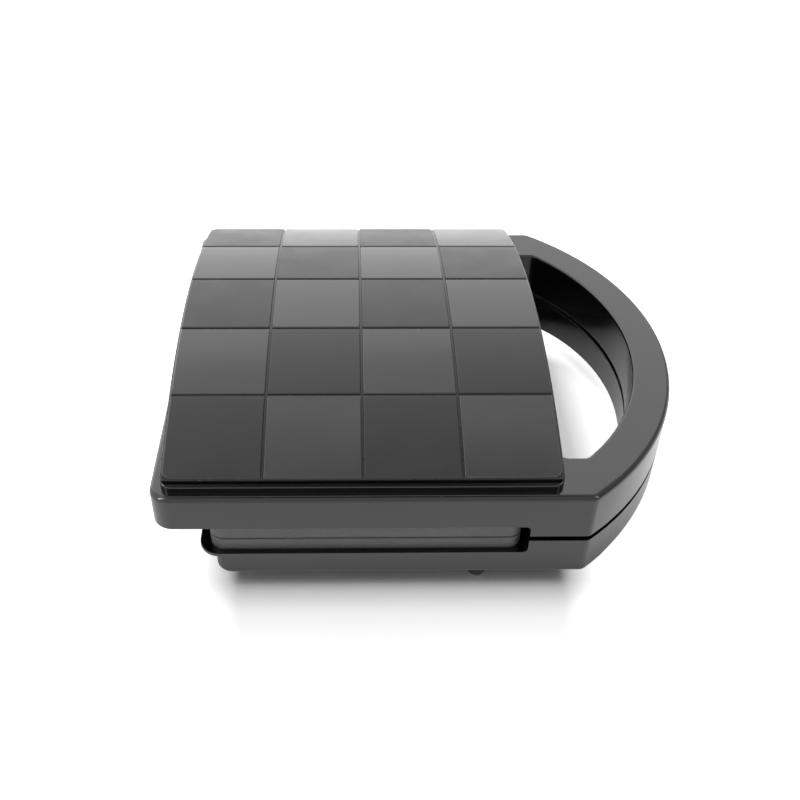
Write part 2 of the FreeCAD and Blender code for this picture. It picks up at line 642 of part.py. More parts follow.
def make_lid_cover():
    body = new_body("lid_cover_body")
    pad(body, vault_profile(end_sketch(body, TILES_MIDDLE), PLINTH_HALF_WIDTH, PLINTH_RADIUS, UPPER_TOP),
        PLINTH_LENGTH, both=True)
    round_edges(body, upright, "plinth_corner")
    round_edges(
        body,
        lambda edge: edge.BoundBox.ZMin > number(UPPER_TOP) + SLACK and not upright(edge),
        "plinth_edge_round",
    )
    seat_half = f"({PANEL_HALF_WIDTH} - reveal_inset)"
    seat_foot = f"({VAULT_AXIS} + sqrt({squared(PLINTH_RADIUS)} - {squared(seat_half)}) - cover_wall / 2)"
    pad(body, vault_profile(end_sketch(body, TILES_MIDDLE), seat_half, PANEL_INNER_RADIUS, seat_foot),
        f"{TILE_COLUMNS} * tile_pitch - 2 * reveal_inset", both=True)
    hollow_half = f"({PLINTH_HALF_WIDTH} - cover_wall)"
    hollow_radius = f"({PLINTH_RADIUS} - cover_wall)"
    hollow = vault_profile(end_sketch(body, TILES_MIDDLE), hollow_half, hollow_radius, f"{UPPER_TOP} - wall")
    pocket(body, hollow, f"{PLINTH_LENGTH} - 2 * cover_wall", both=True)
    posts = flat_sketch(body, UPPER_TOP)
    for x, y in COVER_POSTS:
        circle_in(posts, x, y, "post_radius")
    post_top = f"({VAULT_AXIS} + sqrt({squared(hollow_radius)} - {squared(COVER_POSTS[1][1])}))"
    pad(body, posts, f"{post_top} + cover_wall / 4 - {UPPER_TOP}")
    holes = flat_sketch(body, UPPER_TOP)
    for x, y in COVER_POSTS:
        circle_in(holes, x, y, "(screw_radius + screw_clearance)")
    pocket(body, holes, "screw_length - deck + screw_clearance", up=True)
    return node(body, "lid_cover")


def make_checker_panel():
    """Vaulted panel whose tiles are parted by four straight grooves and three that follow the vault."""
    body = new_body("checker_panel_body")

    def on_arc(radius, angle):
        return (f"({radius}) * sin({angle})", f"{VAULT_AXIS} + ({radius}) * cos({angle})")

    end = HALF_ARC
    pad(body, outline(end_sketch(body, TILES_MIDDLE), [
        on_arc(PANEL_INNER_RADIUS, f"-{end}"), on_arc("vault_radius", f"-{end}"),
        on_arc("vault_radius", end) + ("vault_radius", -1), on_arc(PANEL_INNER_RADIUS, end),
        on_arc(PANEL_INNER_RADIUS, f"-{end}") + (PANEL_INNER_RADIUS, 1),
    ]), f"{TILE_COLUMNS} * tile_pitch", both=True)
    thickness = number("panel_thickness")
    round_edges(body, lambda edge: abs(edge.Length - thickness) < SAME_LENGTH, "panel_corner")
    crown = Vector(0, 0, number(VAULT_AXIS))

    def on_outer_face(edge):
        spots = [edge.valueAt(edge.FirstParameter), edge.valueAt(edge.LastParameter)]
        reach = [math.hypot(spot.y, spot.z - crown.z) for spot in spots]
        return min(reach) > number("vault_radius") - SAME_LENGTH

    round_edges(body, on_outer_face, "panel_edge_round")
    rows = end_sketch(body, TILES_MIDDLE)
    for row in range(1, TILE_ROWS):
        middle = f"({row} * tile_pitch / vault_radius * 180 / pi - {HALF_ARC})"
        half = "(groove_width / vault_radius * 180 / pi)"
        outer = "vault_radius + groove_depth"
        outline(rows, [on_arc("vault_radius - groove_depth", middle), on_arc(outer, f"{middle} + {half}"),
                       on_arc(outer, f"{middle} - {half}")])
    pocket(body, rows, f"{PLINTH_LENGTH}", both=True)
    columns = side_sketch(body, rise=VAULT_AXIS)
    for column in range(1, TILE_COLUMNS):
        middle = f"({TILES_REAR} + {column} * tile_pitch)"
        outline(columns, [(middle, "vault_radius - groove_depth"),
                          (f"{middle} + groove_width", "vault_radius + groove_depth"),
                          (f"{middle} - groove_width", "vault_radius + groove_depth")])
    before = body.Shape.Volume
    groove = body.newObject("PartDesign::Groove", "checker_panel_columns")
    groove.Profile = columns
    groove.ReferenceAxis = (columns, ["H_Axis"])
    groove.Midplane = True
    past_the_edge = "(groove_width / vault_radius * 180 / pi)"
    bind(groove, "Angle", f"2 * ({HALF_ARC} + {past_the_edge})")
    doc.recompute()
    if body.Shape.Volume > before - LEAST_CUT:
        raise RuntimeError("the tile columns are not parted")
    return node(body, "checker_panel")


def make_upper_bezel():
    """Frame round the plate, stepped down in front of it to the parting face."""
    body = new_body("upper_bezel_body")
    rear = f"({REAR} + wall + fit_gap)"
    front = f"({FRONT_WALL} - wall - fit_gap)"
    half = f"({HALF_WIDTH} - wall - fit_gap)"
    low = f"({UPPER_BOTTOM} + bezel_recess)"
    step = f"({SLOT_END} + fit_gap)"
    pad(body, outline(side_sketch(body), [
        (rear, BEZEL_UNDER), (step, BEZEL_UNDER), (step, low), (front, low),
        (front, f"{low} + bezel_thickness"),
        (f"{step} + bezel_thickness", f"{low} + bezel_thickness"), (f"{step} + bezel_thickness", BEZEL_TOP),
        (rear, BEZEL_TOP),
    ]), f"2 * {half}", both=True)
    round_edges(body, lambda edge: upright_near(edge, rear, half), "rear_corner - wall - fit_gap")
    round_edges(body, lambda edge: upright_near(edge, front, half), "rear_corner - wall - fit_gap")
    opening = rounded_box(
        flat_sketch(body, BEZEL_TOP), f"{PLATE_REAR} + plate_seat", f"plate_seat - {PLATE_HALF_WIDTH}",
        f"{PLATE_FRONT} - plate_seat", f"{PLATE_HALF_WIDTH} - plate_seat", "plate_corner",
    )
    pocket(body, opening, "2 * bezel_thickness")
    notches = flat_sketch(body, BEZEL_TOP)
    for hand in (-1, 1):
        for side in (-1, 1):
            middle = f"{hand} * hinge_spacing / 2 + {side} * {EAR_OFFSET}"
            reach = "(ear_thickness / 2 + fit_gap)"
            plain_box(notches, f"{REAR}", f"{middle} - {reach}",
                      f"{HINGE_X} + barrel_radius + ear_foot + fit_gap", f"{middle} + {reach}")
    pocket(body, notches, "2 * bezel_thickness")
    holes = flat_sketch(body, BEZEL_TOP)
    for x, y in BEZEL_POSTS_REAR + BEZEL_POSTS_FRONT:
        circle_in(holes, x, y, "(screw_radius + screw_clearance)")
    for hand in (-1, 1):
        circle_in(holes, LEAD_EXIT, f"{hand} * terminal_spread", "lead_hole")
    pocket(body, holes, f"{BEZEL_TOP} - {low}")
    return node(body, "upper_bezel")


# Pieces that both halves have

def make_handle_cover(name, z):
    """Insert that closes the loop's channel, with sunk screw holes on its outer face."""
    upper = name.startswith("upper")
    body = new_body(f"{name}_body")
    pad(body, channel_outline(flat_sketch(body, z), "(wall + fit_gap)"), "handle_cover_thickness")
    outer_face = z if upper else f"{z} + handle_cover_thickness"
    holes = flat_sketch(body, outer_face)
    sinks = flat_sketch(body, outer_face)
    for x, y in HANDLE_POSTS:
        circle_in(holes, x, y, "(screw_radius + screw_clearance)")
        circle_in(sinks, x, y, "(screw_head_radius + screw_clearance)")
    pocket(body, holes, "handle_cover_thickness", up=upper)
    pocket(body, sinks, "screw_head", up=upper)
    return node(body, name)


def make_plate(name, face, back, web, shelf, boss_end):
    """Cast plate: two round waffle fields on its face, a hollow back and four shouldered bosses."""
    upper = name.startswith("upper")
    body = new_body(f"{name}_casting")
    low = face if upper else back
    thickness = f"abs({back} - {face})"
    block = rounded_box(
        flat_sketch(body, low), PLATE_REAR, f"-{PLATE_HALF_WIDTH}", PLATE_FRONT, PLATE_HALF_WIDTH,
        "plate_corner",
    )
    pad(body, block, thickness)
    round_edges(body, lambda edge: level_at(edge, face), "plate_edge_round")
    fields = flat_sketch(body, face)
    for hand in (-1, 1):
        circle_in(fields, PLATE_MIDDLE, f"{hand} * field_spacing / 2", "field_diameter / 2")
    pocket(body, fields, "field_depth", up=upper)
    hollow = rounded_box(
        flat_sketch(body, back), f"{PLATE_REAR} + plate_seat", f"plate_seat - {PLATE_HALF_WIDTH}",
        f"{PLATE_FRONT} - plate_seat", f"{PLATE_HALF_WIDTH} - plate_seat", "plate_corner",
    )
    pocket(body, hollow, f"{thickness} - plate_web", up=not upper)
    for end, radius in ((shelf, "boss_diameter / 2 + boss_shoulder"), (boss_end, "boss_diameter / 2")):
        bosses = flat_sketch(body, web)
        for x, y in PLATE_BOSSES:
            circle_in(bosses, x, y, radius)
        pad(body, bosses, f"abs({end} - {web})", down=not upper)
    bores = flat_sketch(body, boss_end)
    for x, y in PLATE_BOSSES:
        circle_in(bores, x, y, "(plate_screw_radius + screw_clearance)")
    pocket(body, bores, "plate_screw_length", up=not upper)
    grid = waffle_grid(name, f"({face} + field_depth)" if upper else f"({face} - field_depth)")
    plate = doc.addObject("Part::Cut", f"{name}_cut")
    plate.Base = body
    plate.Tool = grid
    return node(plate, name)


def waffle_grid(name, floor):
    """Crossing V grooves over both fields, as square bars laid on edge and trimmed to the round fields."""
    side = "(grid_depth * sqrt(2))"
    count = int(number("field_diameter") / number("grid_pitch"))
    steps = [index - (count - 1) / 2 for index in range(count)]
    bars = []

    def bar(x, y, length, along_x):
        item = doc.addObject("Part::Box", f"{name}_bar")
        bind(item, "Width", side)
        bind(item, "Height", side)
        bind(item, "Length", length)
        on_edge = Rotation(Vector(1, 0, 0), 45)
        heading = Rotation() if along_x else Rotation(Vector(0, 0, 1), 90)
        item.Placement = Placement(Vector(), heading * on_edge)
        place(item, x, y, f"{floor} - grid_depth")
        bars.append(item)

    for step in steps:
        bar(f"{PLATE_MIDDLE} + {step} * grid_pitch", "0 - field_spacing / 2 - field_diameter / 2",
            "field_spacing + field_diameter", along_x=False)
        for hand in (-1, 1):
            bar(f"{PLATE_MIDDLE} - field_diameter / 2", f"{hand} * field_spacing / 2 + {step} * grid_pitch",
                "field_diameter", along_x=True)
    discs = [
        cylinder(f"{name}_field", "field_diameter / 2 - field_border", "4 * grid_depth",
                 PLATE_MIDDLE, f"{hand} * field_spacing / 2", f"{floor} - 2 * grid_depth")
        for hand in (-1, 1)
    ]
    grid = doc.addObject("Part::Common", f"{name}_grid")
    grid.Base = joined(f"{name}_bars", bars)
    grid.Tool = joined(f"{name}_fields", discs)
    return grid


def make_reflector(name, shelf, window=None):
    """Sheet tray that sits on the plate's bosses, open towards the heater."""
    upper = name.startswith("upper")
    body = new_body(f"{name}_body")
    half_length = "reflector_length / 2"
    half_width = "reflector_width / 2"

    def tray(inset):
        sketch = flat_sketch(body, shelf)
        return rounded_box(
            sketch, f"{PLATE_MIDDLE} - {half_length} + {inset}", f"{inset} - {half_width}",
            f"{PLATE_MIDDLE} + {half_length} - {inset}", f"{half_width} - {inset}",
            f"(plate_corner - {inset})",
        )

    pad(body, tray("0"), "reflector_sheet", down=not upper)
    pad(body, tray("0"), "reflector_rim", down=upper)
    pocket(body, tray("reflector_sheet"), "reflector_rim", up=not upper)
    holes = flat_sketch(body, shelf)
    for x, y in PLATE_BOSSES:
        circle_in(holes, x, y, "boss_diameter / 2 + fit_gap")
    if window:
        circle_in(holes, PLATE_MIDDLE, "0", window)
    pocket(body, holes, "reflector_sheet", up=upper)
    return node(body, name)


def make_element(name, centre):
    """Tubular heater: one loop round the plate, with both ends and their cold pins at the rear."""
    body = new_body(f"{name}_body")
    bend = "element_bend"
    near, far = f"({PLATE_MIDDLE} - element_reach)", f"({PLATE_MIDDLE} + element_reach)"
    start = f"({PLATE_MIDDLE} - terminal_reach)"

    def half(hand):
        """Points of one half of the loop, from its rear end to the front."""
        inner, outer = f"({hand} * terminal_spread)", f"({hand} * element_spread)"
        away = f"({hand} * {bend})"
        return [
            (start, inner), (f"{near} - {bend}", inner), (near, f"{inner} + {away}"),
            (near, f"{outer} - {away}"), (f"{near} + {bend}", outer), (f"{far} - {bend}", outer),
            (far, f"{outer} - {away}"),
        ]

    right, left = half(-1), half(1)
    path = flat_sketch(body, centre)
    outline(path, [
        right[0], right[1], right[2] + (bend, -1), right[3], right[4] + (bend, 1), right[5],
        right[6] + (bend, 1), left[6], left[5] + (bend, 1), left[4], left[3] + (bend, 1), left[2],
        left[1] + (bend, -1), left[0],
    ], closed=False)
    section = circle_in(end_sketch(body, start), "0 - terminal_spread", centre, "element_radius")
    doc.recompute()
    pipe = body.newObject("PartDesign::AdditivePipe", f"{name}_pipe")
    pipe.Profile = section
    pipe.Spine = path
    doc.recompute()
    pins = end_sketch(body, start)
    for hand in (-1, 1):
        circle_in(pins, f"{hand} * terminal_spread", centre, "terminal_radius")
    pad(body, pins, "terminal_length", down=True)
    return node(body, name)


def make_clips(name, web, sign):
    """Saddles over the heater's side runs, standing on the plate web. sign is 1 upwards and -1 downwards."""
    clips = []
    inner = "(element_radius + element_gap)"
    outer = f"({inner} + clip_sheet)"
    foot = f"({outer} + clip_foot)"
    axis = f"({web} + {sign} * (element_radius + element_gap))"

    def level(height):
        return f"({web} + {sign} * ({height}))"

    for hand in (-1, 1):
        for end in (-1, 1):
            body = new_body(f"{name}_clip")
            run = f"{hand} * element_spread"
            sketch = end_sketch(body, f"{PLATE_MIDDLE} + {end} * clip_spacing / 2")
            outline(sketch, [
                (f"{run} - {foot}", web), (f"{run} - {inner}", web), (f"{run} - {inner}", axis),
                (run, f"{axis} + {sign} * {inner}", inner, -sign), (f"{run} + {inner}", axis, inner, -sign),
                (f"{run} + {inner}", web), (f"{run} + {foot}", web), (f"{run} + {foot}", level("clip_sheet")),
                (f"{run} + {outer}", level("clip_sheet")), (f"{run} + {outer}", axis),
                (run, f"{axis} + {sign} * {outer}", outer, sign), (f"{run} - {outer}", axis, outer, sign),
                (f"{run} - {outer}", level("clip_sheet")), (f"{run} - {foot}", level("clip_sheet")),
            ])
            pad(body, sketch, "clip_width", both=True)
            clips.append(body)
    return node(group(f"{name}_group", clips), name)


def make_screws(name, spots, bearing, up, sizes=HOUSING_SCREW):
    """Screws whose heads bear at the given levels. up is True where the shank points up."""
    radius, head, length = sizes
    screws = []
    for (x, y), z in zip(spots, bearing):
        shank_foot = z if up else f"{z} - {length}"
        head_foot = f"{z} - screw_head" if up else z
        shank = cylinder(f"{name}_shank", radius, length, x, y, shank_foot)
        cap = cylinder(f"{name}_head", head, "screw_head", x, y, head_foot)
        screws.append(joined(f"{name}_screw", [shank, cap]))
    return node(group(f"{name}_group", screws), name)


def make_leads(name, routes):
    """Insulated wires. Each route is (side or end plane, where that plane stands, points in it)."""
    wires = []
    for role, stand, points in routes:
        body = new_body(f"{name}_wire")
        path = side_sketch(body, stand) if role == "side" else end_sketch(body, stand)
        outline(path, points, closed=False)
        first = points[0]
        if role == "side":
            section = circle_in(end_sketch(body, first[0]), stand, first[1], "lead_radius")
        else:
            section = circle_in(side_sketch(body, first[0]), stand, first[1], "lead_radius")
        doc.recompute()
        pipe = body.newObject("PartDesign::AdditivePipe", f"{name}_pipe")
        pipe.Profile = section
        pipe.Spine = path
        doc.recompute()
        wires.append(body)
    return node(group(f"{name}_group", wires), name)


# Base pieces

def make_lower_housing():
    body = new_body("lower_housing_body")
    rim_under = f"({LEDGE} - flange)"
    tub = shell_outline(flat_sketch(body, BASE_FLOOR), TUB_REAR, "tub_corner")
    pad(body, tub, f"{rim_under} - {BASE_FLOOR}")
    rim = shell_outline(flat_sketch(body, rim_under), RIM_REAR, "rear_corner")
    pad(body, rim, f"{LOWER_TOP} - {rim_under}")
    pocket(body, hand_gap_outline(flat_sketch(body, BASE_FLOOR)), "lower_height", up=True)
    round_loop_corners(body)
    ledge = outline(side_sketch(body), [
        (f"{RIM_REAR} - wall", LEDGE), (f"{SLOT_END} - slot_corner", LEDGE),
        (SLOT_END, f"{LEDGE} + slot_corner", "slot_corner", 1), (SLOT_END, f"{LOWER_TOP} + wall"),
        (f"{RIM_REAR} - wall", f"{LOWER_TOP} + wall"),
    ])
    pocket(body, ledge, "shell_width + 2 * wall", both=True)
    round_edges(body, lambda edge: level_at(edge, BASE_FLOOR), "bottom_round")
    past_tip = f"({TIP} + wall)"
    slope_end = f"{BASE_FLOOR} + handle_rise * ({past_tip} - {SLOPE_START}) / ({TIP} - {SLOPE_START})"
    slope = outline(side_sketch(body), [
        (SLOPE_START, BASE_FLOOR), (SLOPE_START, f"{BASE_FLOOR} - wall"), (past_tip, f"{BASE_FLOOR} - wall"),
        (past_tip, slope_end),
    ])
    pocket(body, slope, "shell_width + 2 * wall", both=True)
    inside = rounded_box(
        flat_sketch(body, BASE_FLOOR), f"{TUB_REAR} + wall", f"wall - {HALF_WIDTH}",
        f"{FRONT_WALL} - wall", f"{HALF_WIDTH} - wall", "(tub_corner - wall)",
    )
    pocket(body, inside, f"{LEDGE} - flange - {BASE_FLOOR}", up=True)
    front = plain_box(
        flat_sketch(body, BASE_FLOOR), f"{SLOT_END} + wall", f"wall - {HALF_WIDTH}",
        f"{FRONT_WALL} - wall", f"{HALF_WIDTH} - wall",
    )
    pocket(body, front, "lower_height - deck", up=True)
    opening = rounded_box(
        flat_sketch(body, LEDGE), f"{PLATE_REAR} + plate_seat", f"plate_seat - {PLATE_HALF_WIDTH}",
        f"{PLATE_FRONT} - plate_seat", f"{PLATE_HALF_WIDTH} - plate_seat", "plate_corner",
    )
    pocket(body, opening, "flange")
    channel = channel_outline(flat_sketch(body, LOWER_TOP), "wall")
    pocket(body, channel, "lower_height - handle_rise - handle_skin")
    cover_depth = "(handle_cover_recess + handle_cover_thickness)"
    handle_posts = flat_sketch(body, f"{LOWER_TOP} - {cover_depth}")
    for x, y in HANDLE_POSTS:
        circle_in(handle_posts, x, y, "post_radius")
    pad(body, handle_posts, f"lower_height - handle_rise - handle_skin / 2 - {cover_depth}", down=True)
    screw_bores(body, HANDLE_POSTS, f"{LOWER_TOP} - {cover_depth}", up=False)
    rear_posts = flat_sketch(body, BASE_TOP)
    for x, y in BASE_POSTS[:2]:
        circle_in(rear_posts, x, y, "post_radius")
    pad(body, rear_posts, f"{LEDGE} - flange / 2 - {BASE_TOP}")
    front_posts = flat_sketch(body, BASE_TOP)
    for x, y in BASE_POSTS[2:]:
        circle_in(front_posts, x, y, "post_radius")
    pad(body, front_posts, f"{LOWER_TOP} - deck / 2 - {BASE_TOP}")
    screw_bores(body, BASE_POSTS, BASE_TOP, up=True)
    for hand in (-1, 1):
        pad(body, hinge_arm(side_sketch(body, f"{hand} * hinge_spacing / 2")), "arm_thickness", both=True)
    pocket(body, circle_in(side_sketch(body), HINGE_X, HINGE_Z, PIN_BORE), "shell_width", both=True)
    gland_hole = circle_in(end_sketch(body, TUB_REAR), "0", GLAND_HEIGHT, "(gland_radius + fit_gap)")
    pocket(body, gland_hole, "4 * wall", both=True)
    return node(body, "lower_housing")


def hinge_arm(sketch):
    """Arm from the tub to the pin, with a flat heel that stops the lid at full travel."""
    lean = "(lid_travel - 90)"
    face = f"({HINGE_Z} + barrel_radius)"
    reach = f"({SLOT_EDGE} - {HINGE_Z} - stop_gap)"

    def heel(along):
        """A point of the heel's face, the given distance below its level point."""
        return (f"{HINGE_X} - {reach} * cos({lean}) + {along} * sin({lean})",
                f"{HINGE_Z} - {reach} * sin({lean}) - {along} * cos({lean})")

    return outline(sketch, [
        (f"{TUB_REAR} + wall / 2", f"{LEDGE} - flange / 2"),
        (f"{HINGE_X} + barrel_radius", f"{LEDGE} - flange / 2"),
        (f"{HINGE_X} + barrel_radius", HINGE_Z), (HINGE_X, face, "barrel_radius", 1),
        (f"{HINGE_X} - barrel_radius", HINGE_Z, "barrel_radius", 1), heel("0"), heel("heel_length"),
        (f"{TUB_REAR} + wall / 2", f"{BASE_FLOOR} + bottom_round"),
    ])


def make_base_cover():
    body = new_body("base_cover_body")
    pad(body, rounded_box(
        flat_sketch(body, BASE_FLOOR), f"{TUB_REAR} + wall + fit_gap", f"wall + fit_gap - {HALF_WIDTH}",
        f"{FRONT_WALL} - wall - fit_gap", f"{HALF_WIDTH} - wall - fit_gap", "(tub_corner - wall - fit_gap)",
    ), "base_thickness")
    vents = flat_sketch(body, BASE_TOP)
    end = "(vent_width / 2)"
    straight = f"(vent_length / 2 - {end})"
    x = f"({PLATE_MIDDLE} - {(VENT_SLOTS - 1) / 2} * vent_pitch)"
    for hand in (-1, 1):
        y = f"({hand} * field_spacing / 2)"
        outline(vents, [
            (f"{x} + {end}", f"{y} - {straight}"), (f"{x} + {end}", f"{y} + {straight}"),
            (x, f"{y} + {straight} + {end}", end, 1), (f"{x} - {end}", f"{y} + {straight}", end, 1),
            (f"{x} - {end}", f"{y} - {straight}"), (x, f"{y} - {straight} - {end}", end, 1),
            (f"{x} + {end}", f"{y} - {straight}", end, 1),
        ])
    first_vents = pocket(body, vents, "base_thickness")
    row = body.newObject("PartDesign::LinearPattern", "base_cover_vents")
    row.Originals = [first_vents]
    row.Direction = (vents, ["H_Axis"])
    row.Occurrences = VENT_SLOTS
    bind(row, "Length", f"{VENT_SLOTS - 1} * vent_pitch")
    body.Tip = row
    doc.recompute()
    holes = flat_sketch(body, BASE_TOP)
    sinks = flat_sketch(body, BASE_FLOOR)
    for x, y in PLATE_BOSSES:
        circle_in(holes, x, y, "(plate_screw_radius + screw_clearance)")
        circle_in(sinks, x, y, "(plate_screw_head_radius + screw_clearance)")
    for x, y in BASE_POSTS:
        circle_in(holes, x, y, "(screw_radius + screw_clearance)")
        circle_in(sinks, x, y, "(screw_head_radius + screw_clearance)")
    for x, y in FEET.values():
        circle_in(holes, x, y, "(foot_stem_radius + screw_clearance)")
    pocket(body, holes, "base_thickness")
    pocket(body, sinks, "screw_head", up=True)
    return node(body, "base_cover")


def make_foot(name, x, y):
    """Tapered rubber foot with a barbed stem through the floor."""
    body = new_body(f"{name}_body")
    neck = "foot_height + base_thickness"
    head = "(foot_stem_radius + foot_barb)"
    section = outline(side_sketch(body), [
        ("0", "0"), ("foot_bottom_radius", "0"), ("foot_top_radius", "foot_height"),
        ("foot_stem_radius", "foot_height"), ("foot_stem_radius", neck), (head, neck),
        ("foot_stem_radius", f"{neck} + 2 * foot_barb"), ("0", f"{neck} + 2 * foot_barb"),
    ])
    turned = body.newObject("PartDesign::Revolution", f"{name}_turned")
    turned.Profile = section
    turned.ReferenceAxis = (section, ["V_Axis"])
    turned.Angle = 360
    place(body, x, y)
    doc.recompute()
    return node(body, name)


def make_thermostat():
    """Disc thermostat under the middle of the lower plate, with two blade terminals."""
    body = new_body("thermostat_body")
    top = f"({LOWER_WEB} - thermostat_flange)"
    pad(body, rounded_box(
        flat_sketch(body, LOWER_WEB), f"{PLATE_MIDDLE} - thermostat_ear", "0 - thermostat_radius",
        f"{PLATE_MIDDLE} + thermostat_ear", "thermostat_radius", "(thermostat_radius / 2)",
    ), "thermostat_flange", down=True)
    pad(body, circle_in(flat_sketch(body, top), PLATE_MIDDLE, "0", "thermostat_radius"), "thermostat_height",
        down=True)
    blades = flat_sketch(body, f"{top} - thermostat_height")
    for hand in (-1, 1):
        middle = f"({hand} * thermostat_radius / 2)"
        plain_box(blades, f"{PLATE_MIDDLE} - blade_width / 2", f"{middle} - blade_sheet / 2",
                  f"{PLATE_MIDDLE} + blade_width / 2", f"{middle} + blade_sheet / 2")
    pad(body, blades, "blade_length", down=True)
    return node(body, "thermostat")


def make_thermal_fuse():
    across = Vector(0, 1, 0)
    x = f"({PLATE_MIDDLE} + fuse_offset)"
    z = f"({LOWER_SHELF} + fuse_gap + fuse_radius)"
    end = "0 - fuse_length / 2"
    barrel = cylinder("thermal_fuse_barrel", "fuse_radius", "fuse_length", x, end, z, across)
    lead = cylinder("thermal_fuse_lead", "fuse_lead_radius", "fuse_length + 2 * fuse_lead_length", x,
                    f"{end} - fuse_lead_length", z, across)
    return node(joined("thermal_fuse_joined", [barrel, lead]), "thermal_fuse")


def make_terminal_block():
    body = new_body("terminal_block_body")
    pad(body, plain_box(
        flat_sketch(body, BASE_TOP), BLOCK_REAR, "block_offset", f"{BLOCK_REAR} + block_depth",
        "block_offset + block_width",
    ), "block_height")
    bores = end_sketch(body, f"{BLOCK_REAR} + block_depth / 2")
    middle = f"{BASE_TOP} + block_height / 2"
    for index in (1, 2, 3):
        circle_in(bores, f"block_offset + {index} * block_width / 4", middle, "block_bore")
    pocket(body, bores, "2 * block_depth", both=True)
    return node(body, "terminal_block")


def make_cord_gland():
    """Flanged bush in the tub's rear wall, for the supply cord."""
    body = new_body("cord_gland_body")
    inside = f"({TUB_REAR} + wall)"
    pad(body, circle_in(end_sketch(body, TUB_REAR), "0", GLAND_HEIGHT, "gland_flange_radius"), "gland_flange",
        down=True)
    pad(body, circle_in(end_sketch(body, TUB_REAR), "0", GLAND_HEIGHT, "gland_radius"), "wall")
    pad(body, circle_in(end_sketch(body, inside), "0", GLAND_HEIGHT, "gland_flange_radius"), "gland_flange")
    bore = circle_in(end_sketch(body, TUB_REAR), "0", GLAND_HEIGHT, "gland_bore")
    pocket(body, bore, "4 * (wall + gland_flange)", both=True)
    return node(body, "cord_gland")


def make_hinge_pins():
    """Headed pins, entered from the outer side of each hinge."""
    length = "(arm_thickness + 2 * hinge_side_gap + 2 * ear_thickness)"
    for name, hand in (("hinge_pin_right", -1), ("hinge_pin_left", 1)):
        outward = Vector(0, hand, 0)
        inner = f"{hand} * (hinge_spacing / 2 - {length} / 2)"
        outer = f"{hand} * (hinge_spacing / 2 + {length} / 2)"
        shaft = cylinder(f"{name}_shaft", "pin_radius", length, HINGE_X, inner, HINGE_Z, outward)
        head = cylinder(f"{name}_head", "pin_head_radius", "pin_head", HINGE_X, outer, HINGE_Z, outward)
        node(joined(f"{name}_joined", [shaft, head]), name)


def make_lower_leads():
    """Two wires from the terminal block to the heater's pins, each in an upright plane across the base."""
    routes = []
    pin_under = f"({LOWER_WEB} - element_gap - element_radius - terminal_radius - fit_gap)"
    for hand in (1, -1):
        x = f"({PLATE_MIDDLE} - terminal_reach - terminal_length / 2 + {hand} * lead_step / 2)"
        z = f"({BASE_TOP} + lead_height)"
        y = f"({hand} * terminal_spread)"
        routes.append(("end", x, [
            ("block_offset - fit_gap", z), (f"{y} + lead_bend", z), (y, f"{z} + lead_bend", "lead_bend", -1),
            (y, pin_under),
        ]))
    return make_leads("lower_leads", routes)


def make_upper_leads():
    """Two wires from the heater's pins, over the bezel and down through it beside the hinge."""
    routes = []
    start = f"({PLATE_MIDDLE} - terminal_reach - terminal_length - fit_gap)"
    axis = f"({UPPER_WEB} + element_gap + element_radius)"
    run = f"({BEZEL_TOP} + lead_bend + lead_radius)"
    for hand in (-1, 1):
        routes.append(("side", f"({hand} * terminal_spread)", [
            (start, axis), (f"{start} - lead_bend", f"{axis} + lead_bend", "lead_bend", -1),
            (f"{start} - lead_bend", run),
            (f"{start} - 2 * lead_bend", f"{run} + lead_bend", "lead_bend", 1),
            (f"{LEAD_EXIT} + lead_bend", f"{run} + lead_bend"), (LEAD_EXIT, run, "lead_bend", 1),
            (LEAD_EXIT, BEZEL_UNDER),
        ]))
    return make_leads("upper_leads", routes)


def build():
    make_upper_housing()
    make_lid_cover()
    make_checker_panel()
    make_upper_bezel()
    make_handle_cover("upper_handle_cover", f"({UPPER_BOTTOM} + handle_cover_recess)")
    make_plate("upper_plate", UPPER_FACE, BEZEL_UNDER, UPPER_WEB, UPPER_SHELF, DECK_UNDER)
    make_reflector("upper_reflector", UPPER_SHELF)
    make_element("upper_element", f"({UPPER_WEB} + element_gap + element_radius)")
    make_clips("upper_element_clips", UPPER_WEB, 1)
    make_upper_leads()
    make_lower_housing()
    make_base_cover()
    make_handle_cover("lower_handle_cover", f"({LOWER_TOP} - handle_cover_recess - handle_cover_thickness)")
    make_plate("lower_plate", LOWER_FACE, LEDGE, LOWER_WEB, LOWER_SHELF, BASE_TOP)
    make_reflector("lower_reflector", LOWER_SHELF, "thermostat_window")
    make_element("lower_element", f"({LOWER_WEB} - element_gap - element_radius)")
    make_clips("lower_element_clips", LOWER_WEB, -1)
    make_thermostat()
    make_thermal_fuse()
    make_terminal_block()
    make_cord_gland()
    make_lower_leads()
    for name, (x, y) in FEET.items():
        make_foot(name, x, y)
    make_hinge_pins()
    make_screws("upper_plate_screws", PLATE_BOSSES, [UPPER_TOP] * 4, up=False, sizes=PLATE_SCREW)
    make_screws("cover_screws", COVER_POSTS, [DECK_UNDER] * 4, up=True)
    bezel_low = f"({UPPER_BOTTOM} + bezel_recess)"
    bezel_levels = [BEZEL_UNDER] * 2 + [bezel_low] * 2
    make_screws("bezel_screws", BEZEL_POSTS_REAR + BEZEL_POSTS_FRONT, bezel_levels, up=True)
    handle_low = f"({UPPER_BOTTOM} + handle_cover_recess + screw_head)"
    make_screws("upper_handle_screws", HANDLE_POSTS, [handle_low] * 3, up=True)
    handle_high = f"({LOWER_TOP} - handle_cover_recess - screw_head)"
    make_screws("lower_handle_screws", HANDLE_POSTS, [handle_high] * 3, up=False)
    sunk = f"({BASE_FLOOR} + screw_head)"
    make_screws("lower_plate_screws", PLATE_BOSSES, [sunk] * 4, up=True, sizes=PLATE_SCREW)
    make_screws("base_screws", BASE_POSTS, [sunk] * 4, up=True)


